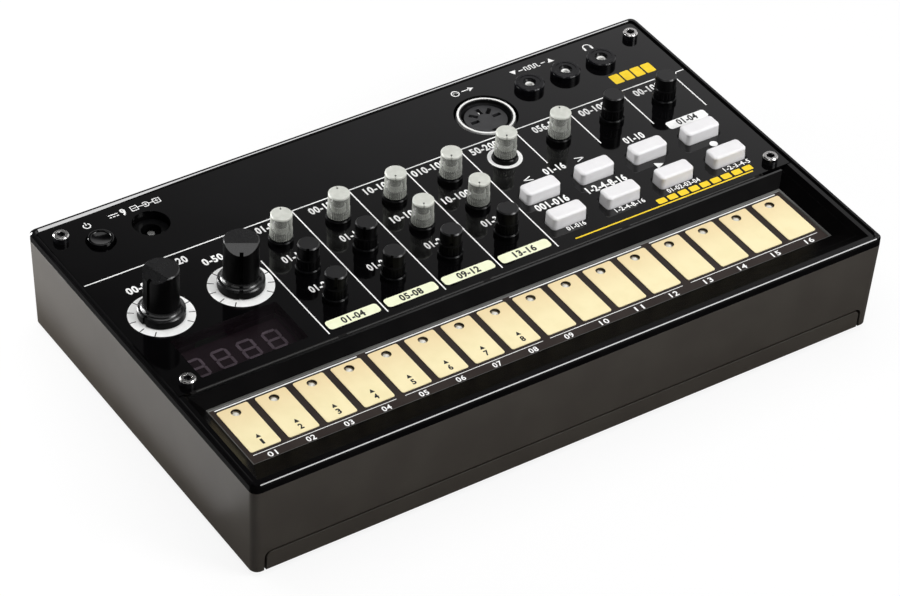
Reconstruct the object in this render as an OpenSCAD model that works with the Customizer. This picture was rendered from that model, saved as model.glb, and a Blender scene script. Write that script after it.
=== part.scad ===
// Compact desktop drum machine: a drafted tub with a glossy top cover and panel, turning knobs,
// spring-loaded keys, a sunken touch strip and a battery door that slides out of the front.
// Millimetres, +Z up. The origin is at the middle of the footprint, on the surface under the feet.

/* [Case] */
// Width of the case
body_w = 193; // [191:1:198]
// Depth of the case
body_d = 115; // [114.5:0.5:118]
// Height of the case above its feet
case_h = 29.3; // [28.5:0.1:31]
// Height that the rubber feet stand out
foot_h = 1.5; // [1.3:0.1:3]
// Radius of the upright corners
corner_r = 2.2; // [2:0.1:4]
// How far each wall leans in towards the bottom
draft = 0.9; // [0:0.1:1.2]
// Thickness of the tub's walls
wall_t = 2.2; // [2:0.1:2.5]
// Thickness of the tub's floor
floor_t = 2; // [1.8:0.1:2.4]
// Bevel along the bottom edge
bottom_bevel = 0.3; // [0.2:0.1:1.2]
// Radius of the rubber feet
foot_r = 5; // [4:0.5:6]
// Foot centres in from the sides of the case
foot_inset_x = 16.5; // [15:0.5:20]
// Foot centres in from the front and rear of the case
foot_inset_y = 12.5; // [11:0.5:15]

/* [Top cover and panel] */
// Height of the rim's upright side, from the tub up to the level of the panel
rim_h = 1.8; // [1.6:0.1:2.2]
// Width of the rim around the panel
rim_w = 1.65; // [1.4:0.05:1.9]
// How far the rim stands above the panel
rim_rise = 0.6; // [0.3:0.05:0.8]
// Bevel along the outer edge of the rim
rim_bevel = 0.55; // [0.2:0.05:0.6]
// Width of the slope along the inner edge of the rim
rim_slope = 0.5; // [0.3:0.05:0.6]
// Thickness of the control panel
panel_t = 1.5; // [1.3:0.1:1.7]
// Depth of the control panel, from the rear rim to its front edge
panel_d = 74.45; // [74.2:0.05:74.7]
// Thickness of the deck under the panel
deck_t = 1.5; // [1.2:0.1:1.8]
// Radius of the panel screws' heads
screw_head_r = 2.1; // [1.8:0.1:2.3]
// Height of the panel screws' heads
screw_head_h = 2; // [1.6:0.1:2.4]
// Radius of the panel screws' shafts
screw_r = 1.25; // [1:0.05:1.5]
// Panel screws in from the sides of the case
screw_inset_x = 6.1; // [5.9:0.1:6.4]
// Rear pair of panel screws in from the rear of the case
screw_inset_rear = 7.4; // [7:0.1:8]
// Front pair of panel screws behind the front edge of the panel
screw_inset_front = 3.2; // [3:0.1:3.6]

/* [Touch strip] */
// Depth of the strip below the top
strip_depth = 5; // [4.6:0.1:5.4]
// Width of the flat edge between the rim and the slopes
land_w = 1.2; // [0.8:0.1:1.4]
// How far the side slopes reach in from that edge
slope_side = 4.55; // [4:0.05:5]
// How far the rear slope reaches forwards from the panel
slope_rear = 3.4; // [3.2:0.1:3.7]
// How far the front slope reaches back from the flat edge
slope_front = 9.45; // [8.6:0.05:9.8]
// Number of pads
pad_count = 16; // [8:1:16]
// Gap between two pads
pad_gap = 2.145; // [1.2:0.005:3]
// Pads in from the ends of the strip's floor
pad_inset_x = 1.8; // [1:0.1:3]
// Pads in from the rear edge of the strip's floor
pad_inset = 1.9; // [1.6:0.1:2.2]
// Pads in from the front edge of the strip's floor
pad_inset_front = 4.4; // [3.5:0.1:6]
// Thickness of the pads
pad_t = 0.2; // [0.1:0.05:0.3]
// Radius of the lamp hole in each pad
lamp_r = 1.4; // [1.1:0.1:1.6]
// Lamp hole's centre from the pad's rear edge
lamp_inset = 2.2; // [2:0.1:2.8]
// Thickness of the touch board
touch_t = 1.2; // [1:0.1:1.6]

/* [Knobs] */
// Width of the panel's left part, which holds the large knobs and the display
left_part_w = 44.8; // [44.4:0.1:45.2]
// Margin to the right of the last column
right_margin = 4.5; // [4:0.1:5]
// Rear row of small knobs in from the rear rim
knob_row_inset = 34.5; // [34.2:0.05:34.8]
// Distance from one row of knobs to the next
knob_row_pitch = 13.45; // [13:0.05:13.6]
// Height of a clear knob above the panel
clear_h = 9.15; // [8.5:0.05:9.5]
// Height of a small black knob above the panel
black_h = 8.6; // [8:0.05:9.5]
// Radius of the small knobs
small_r = 2.9; // [2.7:0.05:3.1]
// Radius of the collar under each small knob
collar_r = 3.4; // [3.3:0.05:3.7]
// Height of the collar
collar_h = 1.5; // [1.2:0.1:1.8]
// Radius of the small knobs' stems
stem_r = 2; // [1.8:0.05:2.1]
// Height of a large knob above the panel
large_h = 15.2; // [14.5:0.1:16]
// Radius of the large knobs
large_r = 4.75; // [4.5:0.05:5]
// Radius of the large knobs' skirts
skirt_r = 6.25; // [6:0.05:6.6]
// Height of the skirt's upright rim
skirt_rim = 2.6; // [2:0.1:3]
// Height of the concave flare above the rim
skirt_flare = 1.9; // [1.4:0.1:2.4]
// Radius of the large knobs' stems
large_stem_r = 3; // [2.8:0.1:3.2]
// Left large knob in from the left rim
large_inset_x = 11.95; // [11.6:0.05:12.3]
// Distance between the large knobs
large_pitch = 23.4; // [23:0.1:24]
// Row of the large knobs in from the rear rim
large_inset_y = 44.95; // [44.6:0.05:45.3]
// Angle of the facet cut across a large knob's top
facet_tilt = 33; // [25:1:38]

/* [Keys] */
// Width of a key
key_w = 11; // [10.6:0.05:11.2]
// Depth of a key
key_d = 5.25; // [5:0.05:5.5]
// Height of a key above the panel
key_h = 3.4; // [3:0.1:3.8]
// How far a key goes down
key_travel = 0.6; // [0.4:0.1:0.8]
// How far the left key stands to the left of its column's centre
key_shift = 0.58; // [0:0.01:1]
// How much closer together the keys are than the columns
key_closer = 0.13; // [0:0.01:0.2]
// Row of the rear keys in from the rear rim
key_row_inset = 52; // [51.8:0.05:52.3]
// Distance from the rear keys to the front keys
key_row_pitch = 12.15; // [11.8:0.05:12.3]
// Radius of the power button
power_r = 3.4; // [3.2:0.05:3.6]
// Height of the power button above the panel
power_h = 1.3; // [1.25:0.05:1.6]
// How far the power button goes down
power_travel = 1.2; // [0.8:0.1:1.2]
// Power button in from the left rim
power_inset_x = 13.15; // [12.8:0.05:13.5]

/* [Sockets] */
// Row of the power button and round sockets in from the rear rim
socket_inset_y = 11.25; // [10.9:0.05:11.6]
// Right audio jack in from the right rim
jack_inset = 18.3; // [17.8:0.1:18.8]
// Distance from one audio jack to the next
jack_pitch = 12; // [11.5:0.1:12.3]
// Radius of an audio jack's bore
jack_bore_r = 1.8; // [1.75:0.01:1.85]
// Depth of an audio jack's bore
jack_bore_depth = 12.5; // [11:0.1:12.8]
// Radius of an audio jack's threaded barrel
jack_barrel_r = 3; // [2.9:0.05:3.1]
// Radius of a jack nut
nut_r = 4.15; // [3.9:0.05:4.3]
// Height of a jack nut
nut_h = 2; // [1.7:0.1:2.3]
// Round five-pin socket to the left of the left audio jack
din_spacing = 17.35; // [17:0.05:18]
// Round five-pin socket in from the rear rim
din_inset_y = 15.85; // [15:0.05:16.2]
// Radius of the five-pin socket's core
din_core_r = 6; // [5.8:0.05:6.1]
// Width of the slot around the core
din_slot = 1.05; // [0.9:0.05:1.1]
// Width of the white ring around the slot
din_ring_w = 1; // [0.9:0.05:1.1]
// Radius of the circle that the five contacts lie on
din_pin_circle = 3.5; // [3.4:0.05:3.6]
// Power socket to the right of the power button
dc_spacing = 14.9; // [14.5:0.1:15.3]
// Radius of the opening over the power socket
dc_hole_r = 5.1; // [4.9:0.05:5.3]
// Radius of the power socket's bore
dc_bore_r = 2.75; // [2.6:0.05:2.9]
// Radius of the pin inside the power socket
dc_pin_r = 1; // [0.8:0.05:1.1]
// How far the power socket's face lies below the top
dc_sink = 2.6; // [2.3:0.1:2.8]

/* [Display] */
// Width of the window
window_w = 31.1; // [30.6:0.1:31.4]
// Depth of the window
window_d = 16.1; // [15.8:0.1:16.4]
// Centre of the window in from the left rim
window_inset_x = 24.1; // [23.8:0.05:24.4]
// Centre of the window in from the rear rim
window_inset_y = 63.1; // [62.9:0.05:63.2]
// How far the digits lie below the top
digit_sink = 4.5; // [4:0.1:5]
// Height of a digit
digit_h = 7.4; // [6.6:0.1:7.4]
// Width of a digit
digit_w = 4.8; // [4.2:0.1:4.8]
// Distance from one digit to the next
digit_pitch = 7.5; // [7.3:0.1:7.7]
// How far the digits stand to the left of the window's centre
digit_shift = 0.8; // [0:0.1:0.9]
// Width of a digit's bars
bar_w = 0.8; // [0.6:0.05:0.9]

/* [Battery bay] */
// Diameter of a battery
cell_d = 14.5; // [14:0.1:14.6]
// Length of a battery
cell_l = 50.5; // [50:0.1:50.8]
// Batteries in a row
cells_in_row = 3; // [2, 3]
// Ends of the battery door in from the sides of the case
door_inset = 4.6; // [4.3:0.1:5.2]
// Thickness of the battery door
door_t = 1.8; // [1.6:0.1:1.9]
// Depth of the battery door, from the front of the case
door_d = 38; // [37.5:0.1:38.5]
// Height of the door's turned-up front lip
lip_h = 5.9; // [5.4:0.1:6.4]
// Thickness of the door's front lip
lip_t = 1.6; // [1.4:0.1:1.6]
// Radius of the lip's upper corners
lip_r = 1.3; // [0.8:0.1:2]
// Visible groove around the lip
groove = 0.7; // [0.5:0.05:0.8]
// How far the door slides forwards
door_travel = 46; // [40:1:48]

/* [Hidden] */
$fn = 32;

// Clearances
fit_gap = 0.15;          // between pieces that sit in one another
move_gap = 0.3;          // between a moving piece and its neighbours
bush_gap = 0.05;         // radial play of a stem in its bush
glass_gap = 0.05;        // round the display window
eps = 0.01;              // overlap between shapes that are cut or joined
past = 1;                // how far a cutting shape runs past the face that it cuts

// Levels, from the bottom up
case_z = foot_h;
floor_z = case_z + floor_t;
door_z = case_z + door_t;
top_z = foot_h + case_h;
rim_z = top_z - rim_h;
rim_top = top_z + rim_rise;
panel_z = top_z - panel_t;
deck_z = panel_z - deck_t;
part_h = 8.5;            // room for parts between the deck and the main board
board_z = deck_z - part_h;
board_t = 1.6;
touch_z = top_z - strip_depth;
digit_z = top_z - digit_sink;

// Outline inside the rim
inner_w = body_w - 2 * rim_w;
inner_rear = body_d / 2 - rim_w;
inner_front = -inner_rear;
inner_left = -inner_w / 2;
inner_right = inner_w / 2;
inner_r = 1.2;           // corner radius inside the rim
panel_front = inner_rear - panel_d;
deck_front = panel_front - move_gap;

// Sloping sides and floor of the strip
slope_x = inner_w / 2 - land_w;
slope_y = inner_front + land_w;
strip_w = 2 * (slope_x - slope_side);
strip_rear = panel_front - slope_rear;
strip_front = slope_y + slope_front;
ledge_t = 0.5;           // upright edge at the foot of the slopes
slope_z = touch_z + ledge_t;
skin_t = 2;              // wall thickness of the slopes
skin_back = 4;           // and of the rear slope, where it meets the deck
board_reach = 1.5;       // how far the touch board runs under that edge
pad_pitch = (strip_w - 2 * pad_inset_x + pad_gap) / pad_count;
pad_w = pad_pitch - pad_gap;
pad_rear = strip_rear - pad_inset;
pad_d = pad_rear - strip_front - pad_inset_front;
lamp_sink = 0.5;         // lamps below the touch board's face
lamp_flange_w = 0.6;
lamp_flange_t = 0.8;

// Cover
cover_lip_t = 1.2;       // lip that locates the cover inside the tub
cover_lip_h = 2.5;
cover_inset = wall_t + fit_gap;
boss_r = 3.2;            // tub bosses that the panel screws go into
pilot_deep = 11;
screw_deep = 10;
socket_r = 1.25;         // hexagon socket in a screw's head
socket_deep = 1.2;

// Battery bay and its door
door_w = body_w - 2 * door_inset;
door_rear = door_d - body_d / 2;
bay_play = 0.7;          // above the cells
cell_gap = 1;            // between the rows and before and behind them, in all twice this
contact_room = 1.5;      // at each end of a row
bay_w = cells_in_row * cell_l + 2 * contact_room;
bay_d = 2 * cell_d + 2 * cell_gap;
bay_wall = 1.5;
bay_z = door_z + 0.35;
bay_top = bay_z + cell_d + bay_play;
bay_front = bay_wall + move_gap + lip_t + draft - body_d / 2;
bay_rear = bay_front + bay_d;
bay_out = bay_w / 2 + bay_wall;
rail_w = 3;
rail_t = 1.2;
hook_t = 1.4;
hook_l = 6;
hook_grip = 1.5;         // how far a hook reaches over its rail
hook_inset = 4;          // hooks in from the ends of the bay
sill_t = 2;              // strip that joins the bay's rear wall to the floor
foot_seat = 0.8;
foot_bevel = 0.4;
grip_l = 5;              // finger grip in the door
grip_w = 1.2;
grip_pitch = 3;
grip_inset = 4;
grip_deep = 0.5;
rib_w = 1.2;             // stiffening ribs beside the hooks
rib_h = 1.2;
rib_x = (bay_out + rail_w + move_gap + hook_t + door_w / 2) / 2;
contact_t = 0.5;
contact_w = 10;
contact_inset = 2;
dimple_h = 0.8;
dimple_r = 2.4;

// Main board and the posts that it is screwed to
board_w = body_w - 13;
board_front = panel_front + 2.6;
board_rear = body_d / 2 - 4;
post_r = 3;
post_screw_r = 1.1;
post_screw_l = 5;        // above the board
post_pilot_l = 6;
post_head_r = 2.2;
post_head_h = 1.5;
post_margin = 3;         // posts in from the board's edges
post_inset_x = 8.35;     // right posts in from the right rim

// Parts on the main board
pot_size = [9.7, 10.9];
large_pot_size = [12, 13];
bore_floor = 1;          // material left under the stem's bore
stem_rise = 2;           // end of each stem above the main board
switch_size = 6.2;
switch_h = 6.5;
power_switch_size = 8;
power_switch_h = 5.9;
key_stem_r = 1.7;
power_stem_r = 1.9;
power_hole_gap = 0.7;    // round the power button
dish_rim = 0.5;          // rim round its dished top
dish_deep = 0.4;
flange_t = 0.9;          // retaining flange of keys and power button
flange_w = 0.7;          // how far that flange stands out
flange_z = panel_z - move_gap - flange_t;
speaker_r = 14;
speaker_flange_t = 1.6;
speaker_cone_h = 2.4;
speaker_magnet_r = 8;
speaker_magnet_h = 1.6;
grille_r = 1;
grille_pitch = 3.6;
jack_body = [8.6, 10];
dc_body = [10, 12];
dc_depth = 5.2;
din_seat = 1.2;          // the white ring's thickness
din_shelf = 0.3;         // how far its seat stands out beyond it
din_hole_gap = 0.9;
din_slot_l = 2.6;        // slots for the contacts
din_slot_w = 1.2;
din_slot_deep = 5;
din_contact_l = 1.4;
din_contact_w = 0.8;
din_contact_h = 1.6;
din_hole_r = din_core_r + din_slot + din_ring_w + din_hole_gap;
power_hole_r = power_r + power_hole_gap;

// Details of the knobs and the digits
collar_spigot_r = 2.75;
foot_h_small = 3;        // fluted foot of a small knob
foot_out = 0.15;         // how far that foot stands out
flute_count = 20;
flute_r = 0.35;
edge_bevel = 0.3;
notch_w = 0.8;           // pointer notch of a small knob
notch_deep = 0.55;
skirt_edge = 0.3;        // rounding between the skirt's rim and its flare
large_taper = 0.08;      // how much a large knob narrows to its top
facet_share = 0.35;      // where the facet starts, as a share of the radius
pointer_w = 1;
groove_deep = 1;         // pointer groove in the body
groove_shallow = 0.35;   // and in the skirt
large_hole_gap = 0.6;    // round the large knobs' stems
digit_count = 4;
bar_gap = 0.12;
segment_t = 0.1;
module_rim = 3.4;        // display module around the digits
window_ledge = 0.5;      // ledge that the window rests on
key_r = 1.1;             // upright corners of a key
key_edge = 0.8;          // its upper edges

function column_x(i) = column_left + (i + 0.5) * column_pitch;
function row_y(i) = inner_rear - knob_row_inset - i * knob_row_pitch;
function key_x(i) = column_x(4) - key_shift + i * (column_pitch - key_closer);
function pad_x(i) = (i - (pad_count - 1) / 2) * pad_pitch;

// Layout of the panel, from its left, right and rear edges
column_count = 8;
column_left = inner_left + left_part_w;
column_pitch = (inner_w - left_part_w - right_margin) / column_count;
socket_y = inner_rear - socket_inset_y;
screw_points = [for (s = [-1, 1], y = [panel_front + screw_inset_front, body_d / 2 - screw_inset_rear])
    [s * (body_w / 2 - screw_inset_x), y]];
small_knob_points = concat(
    [for (c = [0:3], r = [0:2]) [column_x(c), row_y(r)]],
    [for (c = [4:7]) [column_x(c), row_y(0)]]
);
large_knob_points = [for (i = [0:1]) [inner_left + large_inset_x + i * large_pitch, inner_rear - large_inset_y]];
key_points = [for (row = [0, 1], i = [0:3]) [key_x(i), inner_rear - key_row_inset - row * key_row_pitch]];
power_at = [inner_left + power_inset_x, socket_y];
dc_at = [power_at[0] + dc_spacing, socket_y];
jack_points = [for (i = [0:2]) [inner_right - jack_inset - (2 - i) * jack_pitch, socket_y]];
din_at = [jack_points[0][0] - din_spacing, inner_rear - din_inset_y];
window_at = [inner_left + window_inset_x, inner_rear - window_inset_y];
lamp_points = [for (i = [0:pad_count - 1]) [pad_x(i), pad_rear - lamp_inset]];

foot_x = body_w / 2 - foot_inset_x;
foot_y = body_d / 2 - foot_inset_y;
rear_foot_points = [[-foot_x, foot_y], [foot_x, foot_y]];
door_foot_points = [[-foot_x, -foot_y], [foot_x, -foot_y]];
speaker_at = [column_left + 22, inner_rear - 32];
touch_post_r = 2.5;
touch_post_x = bay_out - 8;
touch_posts = [for (x = [-1, 0, 1], y = [pad_rear - lamp_inset - 6, strip_front + 3]) [x * touch_post_x, y]];

// Posts of the main board: two behind, two in front and two beside the last column
post_front_y = board_front + post_margin;
post_rear_y = board_rear - post_margin;
post_right_x = inner_right - post_inset_x;
post_points = [
    [column_left, post_rear_y], [column_x(2) + column_pitch / 2, post_rear_y],
    [column_left, post_front_y],
    [(column_x(3) + pot_size[0] / 2 + key_x(0) - key_w / 2 - flange_w) / 2 - move_gap, post_front_y],
    [post_right_x, row_y(0) + pot_size[1]], [post_right_x, (row_y(0) + key_points[0][1]) / 2 - 1]
];

// ---------- shared shapes ----------

module at_points(points) {
    for (p = points) translate([p[0], p[1], 0]) children();
}

module rounded_rect(w, d, r) {
    square([w - 2 * r, d], center = true);
    square([w, d - 2 * r], center = true);
    for (x = [-1, 1], y = [-1, 1]) translate([x * (w / 2 - r), y * (d / 2 - r)]) circle(r);
}

module plate(w, d, r, z0, z1) {
    translate([0, 0, z0]) linear_extrude(z1 - z0) rounded_rect(w, d, r);
}

module disc(r, z0, z1) {
    translate([0, 0, z0]) cylinder(r = r, h = z1 - z0);
}

// Box given by its low and high corners
module span(low, high) {
    translate(low) cube(high - low);
}

// Rounded block whose walls lean in towards the bottom by the draft
module drafted_block(inset, z0, z1, bevel) {
    lean = draft * (rim_z - z0) / (rim_z - case_z);
    hull() {
        plate(body_w - 2 * (inset + lean + bevel), body_d - 2 * (inset + lean + bevel),
            corner_r - bevel, z0, z0 + eps);
        plate(body_w - 2 * (inset + lean), body_d - 2 * (inset + lean), corner_r, z0 + bevel, z0 + bevel + eps);
        plate(body_w - 2 * inset, body_d - 2 * inset, corner_r, z1 - eps, z1);
    }
}

// Frustum with four sloping sides: half widths and front and rear edges at two levels
module trough(z0, half0, front0, rear0, z1, half1, front1, rear1) {
    intersection() {
        translate([0, body_d, 0]) rotate([90, 0, 0]) linear_extrude(2 * body_d)
            polygon([[-half0, z0], [half0, z0], [half1, z1], [-half1, z1]]);
        translate([-body_w, 0, 0]) rotate([90, 0, 90]) linear_extrude(2 * body_w)
            polygon([[front0, z0], [rear0, z0], [rear1, z1], [front1, z1]]);
    }
}

// Block with rounded upright corners and rounded upper edges
module soft_block(w, d, z0, z1, r_plan, r_top) {
    intersection() {
        plate(w, d, r_plan, z0, z1);
        rotate([90, 0, 0]) translate([0, 0, -d]) linear_extrude(2 * d) arched_side(w, z0, z1, r_top);
        rotate([90, 0, 90]) translate([0, 0, -w]) linear_extrude(2 * w) arched_side(d, z0, z1, r_top);
    }
}

module arched_side(w, z0, z1, r) {
    translate([-w / 2, z0]) square([w, z1 - r - z0]);
    translate([-w / 2 + r, z0]) square([w - 2 * r, z1 - z0]);
    for (x = [-1, 1]) translate([x * (w / 2 - r), z1 - r]) circle(r);
}

// ---------- case ----------

module door_opening(gap) {
    half = door_w / 2 + gap;
    span([-half, -body_d, case_z - 1], [half, door_rear + gap, floor_z + 1]);
    lip_block(half, case_z + lip_h + gap, lip_r + gap, wall_t + draft + eps - body_d / 2);
}

// Block with two rounded upper corners, from a rear face forwards
module lip_block(half, top, r, rear) {
    translate([0, rear, 0]) rotate([90, 0, 0]) linear_extrude(body_d) arched_side(2 * half, case_z - past, top, r);
}

module case_tub() {
    color("dimgray") difference() {
        union() {
            difference() {
                drafted_block(0, case_z, rim_z, bottom_bevel);
                drafted_block(wall_t, floor_z, rim_z + eps, 0);
                door_opening(groove);
            }
            at_points(screw_points) disc(boss_r, floor_z - eps, deck_z);
            battery_bay();
        }
        at_points(screw_points) disc(screw_r, deck_z - pilot_deep, deck_z + past);
        speaker_grille();
        at_points(rear_foot_points) disc(foot_r, case_z - past, case_z + foot_seat);
    }
}

module battery_bay() {
    sill = door_rear + groove;
    difference() {
        union() {
            // ceiling, which reaches the front wall, and the walls under it
            span([-bay_out, wall_t - body_d / 2, bay_top], [bay_out, bay_rear + bay_wall, bay_top + bay_wall]);
            span([-bay_out, bay_front - bay_wall, bay_z], [bay_out, bay_rear + bay_wall, bay_top + eps]);
            // foot that joins the rear wall to the floor
            span([-bay_out, bay_rear, bay_z], [bay_out, sill + sill_t, floor_z + sill_t]);
            span([-bay_out, sill, floor_z - floor_t / 4], [bay_out, sill + sill_t, floor_z + sill_t / 2]);
            // rails for the door's hooks
            for (s = [0, 1]) mirror([s, 0, 0])
                span([bay_out - eps, bay_front, bay_z], [bay_out + rail_w, bay_rear, bay_z + rail_t]);
            // posts that press the touch board up against the cover
            at_points(touch_posts) disc(touch_post_r, bay_top + bay_wall - eps, touch_z - touch_t);
        }
        span([-bay_w / 2, bay_front, bay_z - past], [bay_w / 2, bay_rear, bay_top]);
    }
}

module speaker_grille() {
    at_points([speaker_at]) for (i = [-3:3], j = [-3:3])
        if (norm([i + j / 2, j * sqrt(3) / 2]) < 3.1)
            translate([(i + j / 2) * grille_pitch, j * sqrt(3) / 2 * grille_pitch, 0])
                disc(grille_r, case_z - past, floor_z + past);
}

module foot() {
    r = foot_r - fit_gap;
    rotate_extrude() polygon([[0, 0], [r - foot_bevel, 0], [r, foot_bevel],
        [r, case_z + foot_seat], [0, case_z + foot_seat]]);
}

module rear_feet() {
    color("black") at_points(rear_foot_points) foot();
}

module door_feet() {
    color("black") at_points(door_foot_points) foot();
}

module battery_door() {
    color("dimgray") difference() {
        union() {
            intersection() {
                drafted_block(0, case_z, rim_z, bottom_bevel);
                union() {
                    span([-door_w / 2, -body_d, case_z - past], [door_w / 2, door_rear, door_z]);
                    lip_block(door_w / 2, case_z + lip_h, lip_r, lip_t + draft - body_d / 2);
                }
            }
            for (s = [0, 1]) mirror([s, 0, 0]) {
                for (y = [bay_front + hook_inset, bay_rear - hook_inset - hook_l]) door_hook(y);
                // stiffening rib
                span([rib_x - rib_w / 2, bay_front + hook_inset / 2, door_z - eps],
                    [rib_x + rib_w / 2, bay_rear - hook_inset, door_z + rib_h]);
            }
        }
        at_points(door_foot_points) disc(foot_r, case_z - past, case_z + foot_seat);
        // finger grip
        for (i = [-4:4]) span(
            [i * grip_pitch - grip_w / 2, door_rear - grip_inset - grip_l, case_z - past],
            [i * grip_pitch + grip_w / 2, door_rear - grip_inset, case_z + grip_deep]);
    }
}

// Hook that rides over the bay's rail on the right
module door_hook(y) {
    inner = bay_out + rail_w + move_gap;
    under = bay_z + rail_t + move_gap;
    span([inner, y, door_z - eps], [inner + hook_t, y + hook_l, under + hook_t]);
    span([inner - move_gap - hook_grip, y, under], [inner + eps, y + hook_l, under + hook_t]);
}

module battery_contacts() {
    color("silver") for (s = [0, 1], row = [0, 1]) mirror([s, 0, 0])
        translate([bay_w / 2, bay_rear - (row + 0.5) * (cell_d + cell_gap), 0]) {
            span([-contact_t, -contact_w / 2, bay_z + contact_inset],
                [0, contact_w / 2, bay_top - contact_inset / 2]);
            // dimple that meets the cell
            translate([-contact_t, 0, bay_z + cell_d / 2]) rotate([0, -90, 0])
                cylinder(r1 = dimple_r, r2 = dimple_r * 2 / 3, h = dimple_h);
        }
}

module speaker() {
    cone_z = floor_z + speaker_flange_t;
    magnet_z = cone_z + speaker_cone_h;
    color("black") at_points([speaker_at]) difference() {
        union() {
            disc(speaker_r, floor_z, cone_z);
            translate([0, 0, cone_z - eps])
                cylinder(r1 = speaker_r - 1.5, r2 = speaker_magnet_r, h = speaker_cone_h + eps);
            disc(speaker_magnet_r, magnet_z - eps, magnet_z + speaker_magnet_h);
        }
        disc(speaker_r - 2, floor_z - past, floor_z + speaker_flange_t / 2);
    }
}

// ---------- top cover and panel ----------

// How far the slopes have still to go out between the panel's underside and the top
function slope_run(reach) = reach * (top_z - panel_z) / (top_z - slope_z);

module strip_void() {
    trough(
        slope_z, strip_w / 2, strip_front, strip_rear,
        panel_z, slope_x - slope_run(slope_side), slope_y + slope_run(slope_front), deck_front);
}

// Upper part of the slopes, above the level of the deck
module strip_void_upper() {
    intersection() {
        trough(
            panel_z - eps, slope_x - slope_run(slope_side), slope_y + slope_run(slope_front), 0,
            top_z + eps, slope_x, slope_y, 0);
        span([-body_w, -body_d, 0], [body_w, deck_front + eps, top_z + past]);
    }
}

module strip_shell() {
    intersection() {
        trough(
            touch_z, strip_w / 2 + skin_t, strip_front - skin_t, strip_rear + skin_t,
            rim_z, body_w / 2 - cover_inset, cover_inset - body_d / 2, deck_front + skin_back);
        plate(body_w - 2 * cover_inset, body_d - 2 * cover_inset, corner_r, touch_z, rim_z);
    }
}

module rim_slab() {
    plate(body_w, body_d, corner_r, rim_z, rim_top - rim_bevel);
    hull() {
        plate(body_w, body_d, corner_r, rim_top - rim_bevel - eps, rim_top - rim_bevel);
        plate(body_w - 2 * rim_bevel, body_d - 2 * rim_bevel, corner_r - rim_bevel, rim_top - eps, rim_top);
    }
}

// Space inside the raised rim, with sloping sides
module rim_void() {
    hull() {
        plate(inner_w, 2 * inner_rear, inner_r, top_z, top_z + eps);
        plate(inner_w + 2 * rim_slope, 2 * (inner_rear + rim_slope), inner_r + rim_slope, rim_top, rim_top + eps);
    }
}

module cover_lip() {
    inner = cover_inset + cover_lip_t;
    difference() {
        plate(body_w - 2 * cover_inset, body_d - 2 * cover_inset, corner_r, rim_z - cover_lip_h, rim_z + eps);
        plate(body_w - 2 * inner, body_d - 2 * inner, corner_r - 1, rim_z - cover_lip_h - past, rim_z);
    }
}

// Round openings through the panel and the deck
module panel_holes(z0, z1) {
    at_points(small_knob_points) disc(collar_spigot_r + fit_gap, z0, z1);
    at_points(large_knob_points) disc(large_stem_r + large_hole_gap, z0, z1);
    at_points(jack_points) disc(jack_barrel_r + fit_gap, z0, z1);
    at_points([din_at]) disc(din_hole_r, z0, z1);
    at_points([dc_at]) disc(dc_hole_r, z0, z1);
    at_points(screw_points) disc(screw_r + fit_gap, z0, z1);
}

module top_cover() {
    flange_hole = 2 * (flange_w + move_gap);
    deck_edge = wall_t + 1;
    color("black") difference() {
        union() {
            difference() {
                union() {
                    rim_slab();
                    cover_lip();
                    strip_shell();
                    span([deck_edge - body_w / 2, deck_front, deck_z],
                        [body_w / 2 - deck_edge, body_d / 2 - deck_edge, panel_z]);
                }
                // seat of the panel
                intersection() {
                    plate(inner_w, 2 * inner_rear, inner_r, panel_z, top_z + past);
                    span([-body_w, deck_front, panel_z], [body_w, body_d, top_z + past]);
                }
                rim_void();
                strip_void();
                strip_void_upper();
                span([-strip_w / 2, strip_front, touch_z - past], [strip_w / 2, strip_rear, slope_z + eps]);
            }
            at_points(post_points) disc(post_r, board_z, deck_z + eps);
        }
        at_points(screw_points) disc(boss_r + fit_gap, deck_z - pilot_deep, deck_z);
        panel_holes(deck_z - past, panel_z + past);
        at_points(key_points) plate(key_w + flange_hole, key_d + flange_hole, 1.2, deck_z - past, panel_z + past);
        at_points([power_at]) disc(power_hole_r + flange_w, deck_z - past, panel_z + past);
        at_points([window_at]) plate(window_w - 2 * window_ledge, window_d - 2 * window_ledge, 0.5,
            deck_z - past, panel_z + past);
        at_points(post_points) disc(post_screw_r, board_z - past, board_z + post_pilot_l);
    }
}

module control_panel() {
    color("black") difference() {
        intersection() {
            plate(inner_w - 2 * fit_gap, 2 * (inner_rear - fit_gap), inner_r, panel_z, top_z);
            span([-body_w, panel_front, panel_z], [body_w, body_d, top_z]);
        }
        panel_holes(panel_z - past, top_z + past);
        at_points(key_points) plate(key_w + 2 * move_gap, key_d + 2 * move_gap, 1.3, panel_z - past, top_z + past);
        at_points([power_at]) disc(power_hole_r, panel_z - past, top_z + past);
        at_points([window_at]) plate(window_w, window_d, 0.5, panel_z - past, top_z + past);
    }
}

module panel_screws() {
    color("gray") at_points(screw_points) difference() {
        union() {
            bevelled_disc(screw_head_r, top_z, top_z + screw_head_h);
            disc(screw_r, deck_z - screw_deep, top_z + eps);
        }
        translate([0, 0, top_z + screw_head_h - socket_deep]) cylinder(r = socket_r, h = 2 * socket_deep, $fn = 6);
    }
}

// Cylinder with a small bevel round its top
module bevelled_disc(r, z0, z1) {
    h = z1 - z0;
    translate([0, 0, z0]) rotate_extrude()
        polygon([[0, 0], [r, 0], [r, h - edge_bevel], [r - edge_bevel, h], [0, h]]);
}

// The same with a shallow dish in its top
module dished_disc(r, z0, z1) {
    h = z1 - z0;
    translate([0, 0, z0]) rotate_extrude() polygon([
        [0, 0], [r, 0], [r, h - dish_rim], [r - dish_rim / 2, h], [r - dish_rim, h],
        [r - 2 * dish_rim, h - dish_deep], [0, h - dish_deep]]);
}

// ---------- display ----------

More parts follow.
